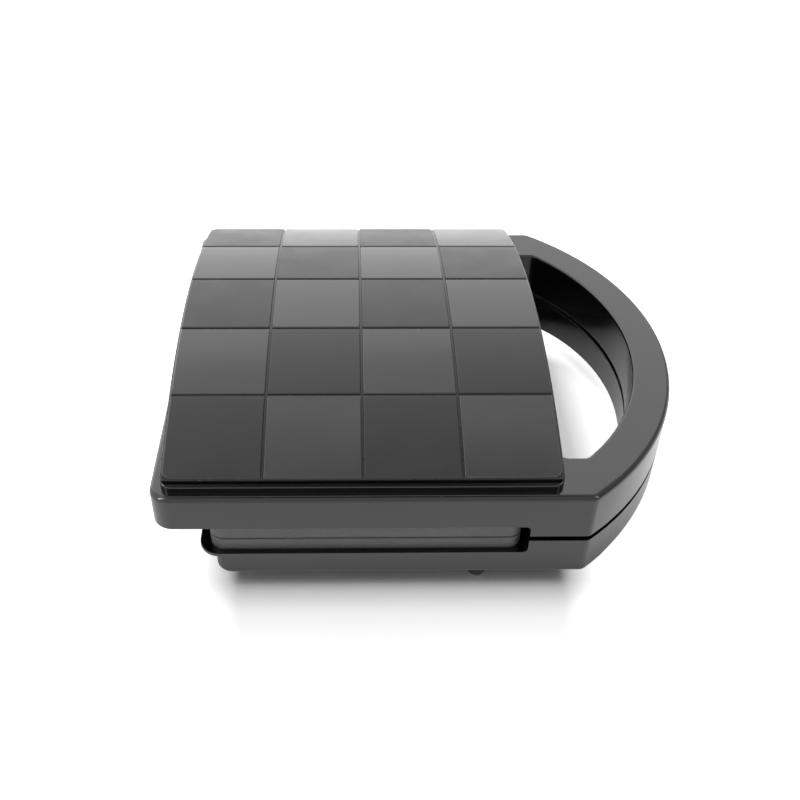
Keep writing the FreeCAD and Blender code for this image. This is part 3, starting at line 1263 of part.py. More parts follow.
def check_and_write():
    """Refuses a failed object or an empty or broken shape, then writes one file per sub-part."""
    doc.recompute()
    for item in doc.Objects:
        if "Invalid" in item.State or "Error" in item.State:
            raise RuntimeError(f"{item.Label} failed: {item.State}")
    for item in NODES:
        if item.Shape.isNull() or not item.Shape.isValid():
            raise RuntimeError(f"{item.Label} has no valid shape")
    os.makedirs("parts", exist_ok=True)
    for item in NODES:
        item.Shape.exportStep(os.path.join("parts", f"{item.Label}.step"))
        print(f"{item.Label}: {len(item.Shape.Solids)} solids, {item.Shape.Volume:.1f} mm3")


build()
check_and_write()
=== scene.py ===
"""Looks of a waffle cone maker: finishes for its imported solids, finer outer pieces, and a white studio."""

import json
import math
from contextlib import contextmanager
from typing import NamedTuple

import bmesh
import bpy
from mathutils import Matrix, Vector


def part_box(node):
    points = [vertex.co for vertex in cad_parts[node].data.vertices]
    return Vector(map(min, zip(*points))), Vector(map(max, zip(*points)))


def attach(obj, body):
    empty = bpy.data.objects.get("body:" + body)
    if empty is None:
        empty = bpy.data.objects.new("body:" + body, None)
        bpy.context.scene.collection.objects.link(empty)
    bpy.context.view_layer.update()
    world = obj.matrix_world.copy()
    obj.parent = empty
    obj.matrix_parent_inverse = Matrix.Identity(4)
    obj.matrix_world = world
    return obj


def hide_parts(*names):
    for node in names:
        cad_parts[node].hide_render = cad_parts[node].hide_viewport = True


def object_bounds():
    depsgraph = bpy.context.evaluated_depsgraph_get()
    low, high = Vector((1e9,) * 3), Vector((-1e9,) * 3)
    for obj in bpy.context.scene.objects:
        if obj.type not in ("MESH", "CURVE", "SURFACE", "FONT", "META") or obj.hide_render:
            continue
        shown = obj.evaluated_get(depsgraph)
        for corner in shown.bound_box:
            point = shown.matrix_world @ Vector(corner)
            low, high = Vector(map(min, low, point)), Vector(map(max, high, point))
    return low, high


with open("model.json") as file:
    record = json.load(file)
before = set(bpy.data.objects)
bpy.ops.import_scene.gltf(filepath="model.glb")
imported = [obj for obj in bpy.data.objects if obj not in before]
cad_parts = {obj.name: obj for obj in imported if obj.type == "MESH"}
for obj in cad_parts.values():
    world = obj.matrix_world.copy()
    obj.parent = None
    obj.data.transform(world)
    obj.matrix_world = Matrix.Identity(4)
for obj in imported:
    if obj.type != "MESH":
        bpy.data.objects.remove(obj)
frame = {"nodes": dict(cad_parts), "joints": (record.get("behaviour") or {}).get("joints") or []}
CAD_LOW, CAD_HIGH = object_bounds()

bl_info = {
    "name": "Waffle Cone Maker",
    "version": (1, 0, 0),
    "blender": (4, 5, 0),
    "location": "View3D > Sidebar > Waffle Maker",
    "description": "Builds the finishes, fine pieces and studio of a waffle cone maker",
    "category": "Object",
}

MM = 0.001
# Places closer than this, in metres, count as one
SAME_PLACE = 1e-6
PANEL_LOW, PANEL_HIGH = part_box("checker_panel")
HINGE_X = frame["joints"][0]["pos_m"][0]
HINGE_Z = frame["joints"][0]["pos_m"][2]


# Settings that a user would change

def length(name, description, default):
    """A size in metres, shown with its unit."""
    return bpy.props.FloatProperty(
        name=name, description=description, default=default, min=0.0, unit="LENGTH", precision=5)


def colour(name, description, default):
    """A linear colour without alpha."""
    return bpy.props.FloatVectorProperty(
        name=name, description=description, default=default, size=3, min=0.0, max=1.0, subtype="COLOR")


def share(name, description, default):
    """A number from 0 to 1."""
    return bpy.props.FloatProperty(
        name=name, description=description, default=default, min=0.0, max=1.0, subtype="FACTOR")


def lamp_level(name, description, default):
    """A brightness that may be above 1."""
    return bpy.props.FloatProperty(name=name, description=description, default=default, min=0.0)


class MakerSizes(bpy.types.PropertyGroup):
    """Sizes of the pieces that are modelled here."""

    vault_radius: length("Vault radius", "Outer face of the tiles", 310 * MM)
    panel_thickness: length("Panel thickness", "Tile panel", 2.2 * MM)
    panel_corner: length("Panel corner", "Plan radius of the panel's corners", 4.5 * MM)
    panel_border: length("Panel border", "Rounded border of the tray round the tiles", 0.55 * MM)
    tile_gap: length("Tile gap", "Groove between tiles", 1.1 * MM)
    tile_depth: length("Groove depth", "Tile face above the groove's floor", 0.75 * MM)
    tile_edge: length("Tile edge", "Round along each tile's edge", 0.6 * MM)
    moulding_edge: length("Moulding edge", "Fine round on the sharp edges of mouldings", 0.3 * MM)
    casting_edge: length("Casting edge", "Fine round on the sharp edges of the plates", 0.2 * MM)
    stud_pitch: length("Stud pitch", "Between the waffle studs", 10 * MM)
    stud_foot: length("Stud foot", "Width of a waffle stud at its foot", 7.8 * MM)
    stud_height: length("Stud height", "Waffle stud above the floor of its field", 0.85 * MM)
    field_radius: length("Field radius", "Round waffle field inside its plain border", 48.3 * MM)
    field_depth: length("Field depth", "Floor of the field behind the plate's face", 1.2 * MM)
    field_spacing: length("Field spacing", "Between the two waffle fields", 111 * MM)
    screw_edge: length("Screw edge", "Round of the screw heads", 0.35 * MM)
    screw_head: length("Screw head", "Height of the screw heads", 1.1 * MM)
    foot_edge: length("Foot edge", "Round of the rubber feet", 0.8 * MM)
    pin_edge: length("Pin edge", "Round of the hinge pins' heads", 0.4 * MM)


class MakerColours(bpy.types.PropertyGroup):
    """Colours of the finishes."""

    shell: colour("Shell", "Polished black moulding", (0.005, 0.005, 0.0052))
    tile_dark: colour("Dark tile", "Satin tiles", (0.017, 0.017, 0.0172))
    tile_light: colour("Light tile", "Polished tiles", (0.056, 0.056, 0.0565))
    groove: colour("Groove", "Floor of the grooves", (0.02, 0.02, 0.0203))
    satin: colour("Satin black", "Spark-textured mouldings", (0.022, 0.022, 0.022))
    coating: colour("Plate coating", "Non-stick coat of the plates", (0.15, 0.15, 0.1512))
    steel: colour("Sheet steel", "Reflectors and clips", (0.62, 0.61, 0.59))
    zinc: colour("Zinc", "Black zinc screws", (0.21, 0.21, 0.212))
    pin: colour("Pin steel", "Turned hinge pins", (0.6, 0.6, 0.6))
    heater: colour("Heater tube", "Oxidised heater tube", (0.20, 0.19, 0.18))
    rubber: colour("Rubber", "Feet and gland", (0.022, 0.022, 0.022))
    sleeve: colour("Wire sleeve", "Glass-fibre sleeve", (0.70, 0.69, 0.65))
    phenolic: colour("Phenolic", "Thermostat and terminal block", (0.15, 0.085, 0.05))
    fuse: colour("Fuse case", "Drawn aluminium case", (0.72, 0.72, 0.72))
    floor: colour("Floor", "Studio floor", (0.9, 0.9, 0.9))


class MakerStudio(bpy.types.PropertyGroup):
    """Light levels, where 1 is white."""

    fill: share("Fill", "Level of the world on matt surfaces", 0.26)
    front_gloss: share("Front gloss", "Level of the world that gloss sees in front", 0.8)
    side_gloss: share("Side gloss", "How much brighter the world is to the left than ahead, for gloss", 0.5)
    ceiling_gloss: share("Ceiling gloss", "Share of the world's level that gloss sees straight above", 0.1)
    back_light: lamp_level("Back light", "Level of the large light behind, which gloss shows", 0.78)
    key_light: lamp_level("Key light", "Level of the light above", 16.0)
    strip_light: lamp_level("Strip light", "Level of the two small lights in front, which gloss shows", 6.0)
    # The glow of the floor's painted shadow at its darkest, under the object
    floor_lift: share("Floor lift", "White that the floor under the object has without light", 0.01)
    # The glow of the floor's painted reflection, which gloss sees in front and at the sides
    floor_gloss: share("Floor gloss", "White that gloss sees on the floor in front and at the sides", 0.4)
    # How far the floor's painted shadow reaches before its glow is white
    painted_shadow_reach: length("Shadow reach", "How far from the body the floor's shadow fades to white", 0.145)


# Selecting and shaping

def clear_selection():
    if bpy.context.mode != "OBJECT":
        bpy.ops.object.mode_set(mode="OBJECT")
    bpy.ops.object.select_all(action="DESELECT")


def activate(obj):
    clear_selection()
    obj.select_set(True)
    bpy.context.view_layer.objects.active = obj


def settle(name):
    """Names the new object and moves its place into its mesh."""
    obj = bpy.context.active_object
    bpy.ops.object.transform_apply(location=True, rotation=True, scale=True)
    obj.name = name
    obj.data.name = name
    return obj


def add_block(name, low, high):
    """A box between two corners."""
    clear_selection()
    low, high = Vector(low), Vector(high)
    bpy.ops.mesh.primitive_cube_add(size=1, location=(low + high) / 2, scale=high - low)
    return settle(name)


def add_rod(name, foot, radius, depth, vertices, axis="Z"):
    """A cylinder from its foot along Y or Z."""
    clear_selection()
    turn = {"Y": (math.pi / 2, 0, 0), "Z": (0, 0, 0)}[axis]
    step = {"Y": Vector((0, 1, 0)), "Z": Vector((0, 0, 1))}[axis]
    middle = Vector(foot) + step * (depth / 2)
    bpy.ops.mesh.primitive_cylinder_add(
        vertices=vertices, radius=radius, depth=depth, location=middle, rotation=turn)
    return settle(name)


@contextmanager
def editing(obj):
    """Edit mode on one object with nothing selected."""
    activate(obj)
    bpy.ops.object.mode_set(mode="EDIT")
    bpy.ops.mesh.select_all(action="DESELECT")
    mesh = bmesh.from_edit_mesh(obj.data)
    yield mesh
    bpy.ops.object.mode_set(mode="OBJECT")


def pick_edges(mesh, test):
    bpy.ops.mesh.select_mode(type="EDGE")
    chosen = [edge for edge in mesh.edges if test(edge)]
    for edge in chosen:
        edge.select = True
    mesh.select_flush(True)
    if not chosen:
        raise RuntimeError("no edge was found to shape")


def pick_faces(mesh, test):
    bpy.ops.mesh.select_mode(type="FACE")
    chosen = [face for face in mesh.faces if test(face)]
    for face in chosen:
        face.select = True
    if not chosen:
        raise RuntimeError("no face was found to shape")


def round_edges(obj, test, radius, segments, clamp=True):
    with editing(obj) as mesh:
        pick_edges(mesh, test)
        bpy.ops.mesh.bevel(
            offset=radius, offset_type="OFFSET", segments=segments, affect="EDGES", clamp_overlap=clamp)


def ends(edge):
    return [vert.co for vert in edge.verts]


def level_at(edge, height):
    return all(abs(co.z - height) < SAME_PLACE for co in ends(edge))


def upright(edge):
    first, last = ends(edge)
    return (first.xy - last.xy).length < SAME_PLACE


def modify(obj, kind, **values):
    """Adds a modifier and applies it."""
    activate(obj)
    modifier = obj.modifiers.new(kind.lower(), kind)
    for key, value in values.items():
        setattr(modifier, key, value)
    bpy.ops.object.modifier_apply(modifier=modifier.name)


def cut(obj, tool, operation="DIFFERENCE"):
    """Takes a tool from a piece, or keeps only what both share, and deletes the tool."""
    modify(obj, "BOOLEAN", operation=operation, object=tool, solver="EXACT")
    bpy.data.objects.remove(tool)


def smooth(obj, degrees=35):
    activate(obj)
    bpy.ops.object.shade_smooth_by_angle(angle=math.radians(degrees))


def even_shading(obj, degrees):
    """Smooth shading that leaves the large faces flat."""
    smooth(obj, degrees)
    modify(obj, "WEIGHTED_NORMAL", keep_sharp=True)


def join(name, pieces):
    clear_selection()
    for piece in pieces:
        piece.select_set(True)
    bpy.context.view_layer.objects.active = pieces[0]
    if len(pieces) > 1:
        bpy.ops.object.join()
    pieces[0].name = name
    pieces[0].data.name = name
    return pieces[0]


def finish_piece(obj, body, slot, material, *nodes):
    """Gives a piece its finish and its body, and hides the solids that it stands for."""
    obj.data.materials.clear()
    obj.data.materials.append(material)
    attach(obj, body)
    if nodes:
        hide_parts(*nodes)
    return obj


# Shader effects that several finishes share

class NodeMaker:
    """Adds nodes to one tree. A value that is a socket is linked, and any other is set."""

    def __init__(self, tree):
        self.tree = tree

    def node(self, kind, **values):
        made = self.tree.nodes.new(kind)
        for key, value in values.items():
            setattr(made, key, value)
        return made

    def feed(self, socket, value):
        if isinstance(value, bpy.types.NodeSocket):
            self.tree.links.new(value, socket)
        else:
            socket.default_value = value

    def feed_all(self, node, **values):
        for label, value in values.items():
            self.feed(node.inputs[label.replace("_", " ")], value)

    def math(self, operation, *values):
        made = self.node("ShaderNodeMath", operation=operation)
        for socket, value in zip(made.inputs, values):
            self.feed(socket, value)
        return made.outputs["Value"]

    def vector_math(self, operation, *values):
        made = self.node("ShaderNodeVectorMath", operation=operation)
        for socket, value in zip(made.inputs, values):
            self.feed(socket, value)
        return made.outputs["Value" if operation in ("LENGTH", "DISTANCE") else "Vector"]

    def spread(self, value, start, end, least=0.0, most=1.0, eased=False):
        """A value from start to end, mapped to least to most."""
        made = self.node("ShaderNodeMapRange", interpolation_type="SMOOTHSTEP" if eased else "LINEAR")
        self.feed_all(made, Value=value, From_Min=start, From_Max=end, To_Min=least, To_Max=most)
        return made.outputs["Result"]

    def blend(self, factor, first, second):
        made = self.node("ShaderNodeMix", data_type="FLOAT")
        self.feed_all(made, Factor=factor, A=first, B=second)
        return made.outputs["Result"]

    def noise(self, vector, scale, detail, roughness=0.5):
        made = self.node("ShaderNodeTexNoise")
        self.feed_all(made, Vector=vector, Scale=scale, Detail=detail, Roughness=roughness)
        return made.outputs["Fac"]

    def bump(self, height, depth, strength):
        made = self.node("ShaderNodeBump")
        self.feed_all(made, Height=height, Distance=depth, Strength=strength)
        return made.outputs["Normal"]

    def parts(self, vector):
        made = self.node("ShaderNodeSeparateXYZ")
        self.feed(made.inputs["Vector"], vector)
        return made.outputs

    def effect(self, maker, **values):
        """A shared effect with this material's own values."""
        made = self.node("ShaderNodeGroup", node_tree=shared(maker))
        self.feed_all(made, **values)
        return made.outputs[0]


EFFECTS = {}


def shared(maker):
    """The effect's node group, built once."""
    if maker.__name__ not in EFFECTS:
        EFFECTS[maker.__name__] = maker()
    return EFFECTS[maker.__name__]


NUMBER = "NodeSocketFloat"
COLOUR = "NodeSocketColor"
VECTOR = "NodeSocketVector"


def new_effect(name, inputs, output):
    """A shader node group: its maker, the sockets it is given and the socket it fills."""
    group = bpy.data.node_groups.new(name, "ShaderNodeTree")
    group.interface.new_socket(name="Vector", in_out="INPUT", socket_type=VECTOR)
    for label, kind, default in inputs:
        socket = group.interface.new_socket(name=label, in_out="INPUT", socket_type=kind)
        socket.default_value = default
    label, kind = output
    group.interface.new_socket(name=label, in_out="OUTPUT", socket_type=kind)
    nodes = NodeMaker(group)
    return nodes, nodes.node("NodeGroupInput").outputs, nodes.node("NodeGroupOutput").inputs[label]


def uneven_gloss():
    """Roughness that drifts slowly over the surface, with finer handling marks."""
    usual_low, usual_high = 0.3, 0.7
    nodes, given, result = new_effect(
        "Uneven gloss",
        [("Least", NUMBER, 0.2), ("Most", NUMBER, 0.3), ("Scale", NUMBER, 25.0)],
        ("Roughness", NUMBER),
    )
    drift = nodes.noise(given["Vector"], given["Scale"], detail=4.0, roughness=0.6)
    nodes.feed(result, nodes.spread(drift, usual_low, usual_high, given["Least"], given["Most"]))
    return nodes.tree


def fine_grain():
    """Height of a spark-eroded or cast texture, as two sizes of noise."""
    coarse_step = 0.3
    nodes, given, result = new_effect(
        "Fine grain",
        [("Scale", NUMBER, 1500.0), ("Coarse share", NUMBER, 0.4)],
        ("Height", NUMBER),
    )
    fine = nodes.noise(given["Vector"], given["Scale"], detail=3.0)
    coarse_scale = nodes.math("MULTIPLY", given["Scale"], coarse_step)
    coarse = nodes.noise(given["Vector"], coarse_scale, detail=2.0)
    nodes.feed(result, nodes.blend(given["Coarse share"], fine, coarse))
    return nodes.tree


def tone_drift():
    """A colour that drifts between a lighter and a darker tone, with fine specks."""
    noise_middle = 0.5
    nodes, given, result = new_effect(
        "Tone drift",
        [("Colour", COLOUR, (0.5, 0.5, 0.5, 1.0)), ("Scale", NUMBER, 40.0), ("Amount", NUMBER, 0.2)],
        ("Colour", COLOUR),
    )
    noise = nodes.noise(given["Vector"], given["Scale"], detail=5.0, roughness=0.65)
    centred = nodes.math("SUBTRACT", noise, noise_middle)
    swing = nodes.math("MULTIPLY_ADD", centred, given["Amount"], 1.0)
    scaled = nodes.node("ShaderNodeVectorMath", operation="SCALE")
    nodes.feed(scaled.inputs[0], given["Colour"])
    nodes.feed(scaled.inputs["Scale"], swing)
    nodes.feed(result, scaled.outputs["Vector"])
    return nodes.tree


# Finishes

class Recipe(NamedTuple):
    """How a finish varies over its surface."""

    name: str
    # Scale and amount of the drift in tone
    drift: tuple
    # Least and most roughness, and the scale of its drift
    gloss: tuple
    # Scale, depth, strength, and the share of the coarser noise
    grain: tuple = None
    # Scale, depth and strength
    weave: tuple = None
    # Scale of the patterns along each axis, as rolling, drawing or turning leaves them
    stretch: tuple = None
    specular: float = 0.5
    metallic: float = 0.0


# One recipe for each colour, by the colour's name
FINISHES = {
    "shell": Recipe(
        "Polished black moulding", drift=(30, 0.25), gloss=(0.09, 0.15, 35),
        grain=(900, 0.02 * MM, 0.06, 0.6), specular=0.78),
    "tile_dark": Recipe(
        "Satin tile", drift=(900, 0.35), gloss=(0.36, 0.44, 60),
        grain=(2600, 0.03 * MM, 0.22, 0.4), specular=0.7),
    "tile_light": Recipe(
        "Polished tile", drift=(60, 0.12), gloss=(0.19, 0.26, 30),
        grain=(1200, 0.02 * MM, 0.08, 0.6), specular=0.66),
    "groove": Recipe("Groove floor", drift=(80, 0.3), gloss=(0.24, 0.34, 60)),
    "satin": Recipe(
        "Spark-textured moulding", drift=(50, 0.3), gloss=(0.4, 0.52, 40), grain=(1800, 0.05 * MM, 0.4, 0.4)),
    "coating": Recipe(
        "Non-stick coating", drift=(700, 0.5), gloss=(0.42, 0.58, 90), grain=(1400, 0.09 * MM, 0.6, 0.5)),
    "steel": Recipe(
        "Mill sheet steel", drift=(500, 0.25), gloss=(0.22, 0.42, 700),
        grain=(900, 0.02 * MM, 0.25, 0.3), stretch=(0.04, 1.0, 1.0), metallic=1.0),
    "zinc": Recipe(
        "Black zinc plate", drift=(300, 0.2), gloss=(0.24, 0.4, 400),
        grain=(2000, 0.02 * MM, 0.2, 0.4), metallic=1.0),
    "pin": Recipe(
        "Turned pin", drift=(300, 0.15), gloss=(0.2, 0.34, 500),
        grain=(900, 0.02 * MM, 0.3, 0.2), stretch=(0.3, 6.0, 0.3), metallic=1.0),
    "heater": Recipe(
        "Oxidised heater tube", drift=(150, 0.7), gloss=(0.34, 0.55, 120),
        grain=(1500, 0.03 * MM, 0.3, 0.4), metallic=1.0),
    "rubber": Recipe(
        "Moulded rubber", drift=(200, 0.4), gloss=(0.58, 0.76, 150),
        grain=(2200, 0.04 * MM, 0.4, 0.4), specular=0.35),
    "sleeve": Recipe(
        "Woven glass sleeve", drift=(400, 0.3), gloss=(0.6, 0.78, 200), weave=(900, 0.1 * MM, 0.5)),
    "phenolic": Recipe(
        "Phenolic moulding", drift=(250, 0.5), gloss=(0.38, 0.52, 100), grain=(1500, 0.03 * MM, 0.3, 0.4)),
    "fuse": Recipe(
        "Drawn aluminium", drift=(500, 0.15), gloss=(0.22, 0.36, 600),
        stretch=(1.0, 0.05, 1.0), metallic=1.0),
}


def make_finish(key):
    """A new material from its recipe and its colour."""
    recipe = FINISHES[key]
    base = (*getattr(bpy.context.scene.maker_colours, key), 1.0)
    material = bpy.data.materials.new(recipe.name)
    material.use_nodes = True
    nodes = NodeMaker(material.node_tree)
    shader = nodes.tree.nodes["Principled BSDF"]
    nodes.feed_all(shader, Metallic=recipe.metallic, Specular_IOR_Level=recipe.specular)
    spot = nodes.node("ShaderNodeTexCoord").outputs["Object"]
    if recipe.stretch:
        mapping = nodes.node("ShaderNodeMapping")
        nodes.feed_all(mapping, Vector=spot, Scale=recipe.stretch)
        spot = mapping.outputs["Vector"]
    scale, amount = recipe.drift
    nodes.feed_all(shader, Base_Color=nodes.effect(
        tone_drift, Vector=spot, Colour=base, Scale=scale, Amount=amount))
    least, most, scale = recipe.gloss
    nodes.feed_all(shader, Roughness=nodes.effect(
        uneven_gloss, Vector=spot, Least=least, Most=most, Scale=scale))
    if recipe.grain:
        scale, depth, strength, coarse = recipe.grain
        height = nodes.effect(fine_grain, Vector=spot, Scale=scale, Coarse_share=coarse)
        nodes.feed_all(shader, Normal=nodes.bump(height, depth, strength))
    if recipe.weave:
        scale, depth, strength = recipe.weave
        weave = nodes.node("ShaderNodeTexWave", wave_type="BANDS", bands_direction="DIAGONAL")
        nodes.feed_all(weave, Vector=spot, Scale=scale)
        nodes.feed_all(shader, Normal=nodes.bump(weave.outputs["Fac"], depth, strength))
    return material


CARRIED = {
    "shell": ["upper_housing", "lower_housing", "lid_cover"],
    "satin": ["upper_bezel", "upper_handle_cover", "lower_handle_cover", "base_cover"],
    "coating": ["upper_plate", "lower_plate"],
    "steel": ["upper_reflector", "lower_reflector", "upper_element_clips", "lower_element_clips"],
    "heater": ["upper_element", "lower_element"],
    "zinc": ["upper_plate_screws", "cover_screws", "bezel_screws", "upper_handle_screws",
             "lower_plate_screws", "base_screws", "lower_handle_screws"],
    "pin": ["hinge_pin_left", "hinge_pin_right"],
    "rubber": ["front_foot_right", "front_foot_left", "rear_foot_right", "rear_foot_left", "cord_gland"],
    "sleeve": ["upper_leads", "lower_leads"],
    "phenolic": ["thermostat", "terminal_block"],
    "fuse": ["thermal_fuse"],
}


class WAFFLE_OT_dress_solids(bpy.types.Operator):
    """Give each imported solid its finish"""

    bl_idname = "waffle.dress_solids"
    bl_label = "Dress the solids"

    def execute(self, context):
        for key, names in CARRIED.items():
            material = make_finish(key)
            for name in names:
                mesh = frame["nodes"][name].data
                mesh.materials.clear()
                mesh.materials.append(material)
        return {"FINISHED"}


# Mouldings

# Name, body, solid, slot and finish of each moulding
SOFTENED = [
    ("lid_shell", "lid", "upper_housing", "gloss_black", "shell"),
    ("base_shell", "base", "lower_housing", "gloss_black", "shell"),
    ("plate_frame", "lid", "upper_bezel", "satin_black", "satin"),
    ("upper_grip_insert", "lid", "upper_handle_cover", "satin_black", "satin"),
    ("lower_grip_insert", "base", "lower_handle_cover", "satin_black", "satin"),
    ("base_floor", "base", "base_cover", "satin_black", "satin"),
]
FLAT_ANGLE = math.radians(0.5)
SHARP_ANGLE = math.radians(40)
# An edge is rounded only between faces that are this many radii wide
LEAST_FACE_WIDTH = 2.5


def soften(name, node, radius):
    """A copy of a solid whose sharp outer edges have a fine round."""
    copy = bpy.data.objects.new(name, frame["nodes"][node].data.copy())
    copy.data.name = name
    bpy.context.scene.collection.objects.link(copy)
    activate(copy)
    bpy.ops.mesh.customdata_custom_splitnormals_clear()
    with editing(copy):
        bpy.ops.mesh.select_all(action="SELECT")
        bpy.ops.mesh.remove_doubles(threshold=SAME_PLACE)
        bpy.ops.mesh.dissolve_limited(angle_limit=FLAT_ANGLE)

    def sharp(edge):
        if not edge.is_convex or edge.calc_face_angle() < SHARP_ANGLE:
            return False
        least_area = LEAST_FACE_WIDTH * radius * edge.calc_length()
        return all(face.calc_area() > least_area for face in edge.link_faces)

    round_edges(copy, sharp, radius, segments=2, clamp=False)
    even_shading(copy, degrees=35)
    return copy


class WAFFLE_OT_mouldings(bpy.types.Operator):
    """Model the mouldings with finely rounded edges"""

    bl_idname = "waffle.mouldings"
    bl_label = "Mouldings"

    def execute(self, context):
        radius = context.scene.maker_sizes.moulding_edge
        finishes = {key: make_finish(key) for key in ("shell", "satin")}
        for name, body, node, slot, key in SOFTENED:
            finish_piece(soften(name, node, radius), body, slot, finishes[key], node)
        return {"FINISHED"}


# Baking plates

STUD_SUNK = 0.1 * MM
STUD_CROWN_SHARE = 0.8
STUD_CROWN_ROUND = 0.35 * MM
STUD_SIDE_ROUND = 0.5 * MM
# Height of the disc that trims a field, in stud heights
TRIM_HEIGHTS = 4


def waffle_field(name, centre, floor, up):
    """Tapered studs in rows, trimmed to a round field. up is 1 for a field that faces up, or -1."""
    size = bpy.context.scene.maker_sizes
    half = size.stud_foot / 2
    count = 2 * int(size.field_radius / size.stud_pitch) + 1
    first = Vector(centre) - Vector((1, 1, 0)) * (size.stud_pitch * (count - 1) / 2)
    low, high = sorted((floor - up * STUD_SUNK, floor + up * size.stud_height))
    stud = add_block(name, (first.x - half, first.y - half, low), (first.x + half, first.y + half, high))
    crown = high if up > 0 else low
    with editing(stud) as mesh:
        pick_faces(mesh, lambda face: abs(face.calc_center_median().z - crown) < SAME_PLACE)
        bpy.ops.transform.resize(
            value=(STUD_CROWN_SHARE, STUD_CROWN_SHARE, 1), center_override=(first.x, first.y, crown))
    round_edges(stud, lambda edge: level_at(edge, crown), STUD_CROWN_ROUND, segments=3)
    round_edges(stud, lambda edge: abs(ends(edge)[0].z - ends(edge)[1].z) > size.stud_height / 2,
                STUD_SIDE_ROUND, segments=2)
    for axis in (0, 1):
        step = [0.0, 0.0, 0.0]
        step[axis] = size.stud_pitch
        modify(stud, "ARRAY", count=count, use_relative_offset=False, use_constant_offset=True,
               constant_offset_displace=step)
    depth = TRIM_HEIGHTS * size.stud_height
    disc = add_rod("trim", (centre[0], centre[1], floor - depth / 2), size.field_radius, depth, vertices=128)
    cut(stud, disc, "INTERSECT")
    even_shading(stud, degrees=30)
    return stud


class WAFFLE_OT_baking_plates(bpy.types.Operator):
    """Model the two cast plates and their waffle studs"""

    bl_idname = "waffle.baking_plates"
    bl_label = "Baking plates"

    def execute(self, context):
        size = context.scene.maker_sizes
        coat = make_finish("coating")
        for half, body, up in (("upper", "lid", -1), ("lower", "base", 1)):
            node = f"{half}_plate"
            low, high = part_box(node)
            face = high.z if up > 0 else low.z
            piece = soften(f"{half}_casting", node, size.casting_edge)
            finish_piece(piece, body, "cast_plate", coat, node)
            for side, hand in (("right", -1), ("left", 1)):
                centre = ((low.x + high.x) / 2, hand * size.field_spacing / 2, 0)
                field = waffle_field(f"{half}_waffle_{side}", centre, face - up * size.field_depth, up)
                finish_piece(field, body, "cast_plate", coat)
        return {"FINISHED"}


# Screws

# Name, body and solids of each group, and 1 where the heads point up or -1 where they point down
SCREW_GROUPS = [
    ("upper_grip_screws", "lid", "upper_handle_screws", -1),
    ("lower_grip_screws", "base", "lower_handle_screws", 1),
    ("plate_frame_screws", "lid", "bezel_screws", -1),
    ("floor_screws", "base", "base_screws", -1),
    ("lower_casting_screws", "base", "lower_plate_screws", -1),
    ("upper_casting_screws", "lid", "upper_plate_screws", 1),
    ("plinth_screws", "lid", "cover_screws", -1),
]
PLATE_SCREW_SHANK = 1.8 * MM
HOUSING_SCREW_SHANK = 1.45 * MM
# Shares of the head's radius, of its height and of the shank's radius
RECESS_REACH = 0.55
RECESS_WIDTH = 0.11
RECESS_DEPTH = 0.75
TIP_ROUND = 0.4


def islands(node):
    """The box of each separate solid of a node, as lowest and highest corners."""
    mesh = bmesh.new()
    mesh.from_mesh(frame["nodes"][node].data)
    bmesh.ops.remove_doubles(mesh, verts=mesh.verts, dist=SAME_PLACE)
    left = set(mesh.verts)
    boxes = []
    while left:
        reached = set()
        waiting = [min(left, key=lambda vert: vert.index)]
        while waiting:
            vert = waiting.pop()
            if vert not in reached:
                reached.add(vert)
                waiting.extend(edge.other_vert(vert) for edge in vert.link_edges)
        left -= reached
        low = Vector([min(vert.co[axis] for vert in reached) for axis in range(3)])
        high = Vector([max(vert.co[axis] for vert in reached) for axis in range(3)])
        boxes.append((low, high))
    mesh.free()
    return sorted(boxes, key=lambda box: tuple(box[0]))


def cross_screw(name, head_radius, shank_radius, total):
    """A cross-recessed screw that stands on its tip at the origin, head up."""
    size = bpy.context.scene.maker_sizes
    head = add_rod(name, (0, 0, total - size.screw_head), head_radius, size.screw_head, vertices=48)
    round_edges(head, lambda edge: level_at(edge, total), size.screw_edge, segments=4)
    reach, width = head_radius * RECESS_REACH, head_radius * RECESS_WIDTH
    for along, across in ((width, reach), (reach, width)):
        low = (-along, -across, total - RECESS_DEPTH * size.screw_head)
        cut(head, add_block("recess", low, (along, across, total + size.screw_head)))
    shank = add_rod("shank", (0, 0, 0), shank_radius, total - size.screw_head / 2, vertices=32)
    round_edges(shank, lambda edge: level_at(edge, 0.0), shank_radius * TIP_ROUND, segments=2)
    screw = join(name, [head, shank])
    smooth(screw)
    return screw


class WAFFLE_OT_screws(bpy.types.Operator):
    """Model the cross-recessed screws"""

    bl_idname = "waffle.screws"
    bl_label = "Screws"

    def execute(self, context):
        zinc = make_finish("zinc")
        for name, body, node, up in SCREW_GROUPS:
            boxes = islands(node)
            low, high = boxes[0]
            shank = PLATE_SCREW_SHANK if "casting" in name else HOUSING_SCREW_SHANK
            screw = cross_screw(name, (high.x - low.x) / 2, shank, high.z - low.z)
            turn = Matrix.Identity(4) if up > 0 else Matrix.Rotation(math.pi, 4, "X")
            copies = []
            for low, high in boxes:
                activate(screw)
                bpy.ops.object.duplicate()
                copy = bpy.context.active_object
                middle = (low + high) / 2
                tip = (middle.x, middle.y, low.z if up > 0 else high.z)
                copy.matrix_world = Matrix.Translation(tip) @ turn
                bpy.ops.object.transform_apply(location=True, rotation=True, scale=True)
                copies.append(copy)
            bpy.data.objects.remove(screw)
            finish_piece(join(name, copies), body, "screw_steel", zinc, node)
        return {"FINISHED"}


# Feet and hinge pins

FOOT_SOLE_SHARE = 0.8
FOOT_STEM_RADIUS = 2.4 * MM
# Z of the normal of faces that look down, and of the flat sole alone
FACES_DOWN = -0.9
FACES_STRAIGHT_DOWN = -0.999
PIN_RADIUS = 2.5 * MM
PIN_HEAD = 1.5 * MM


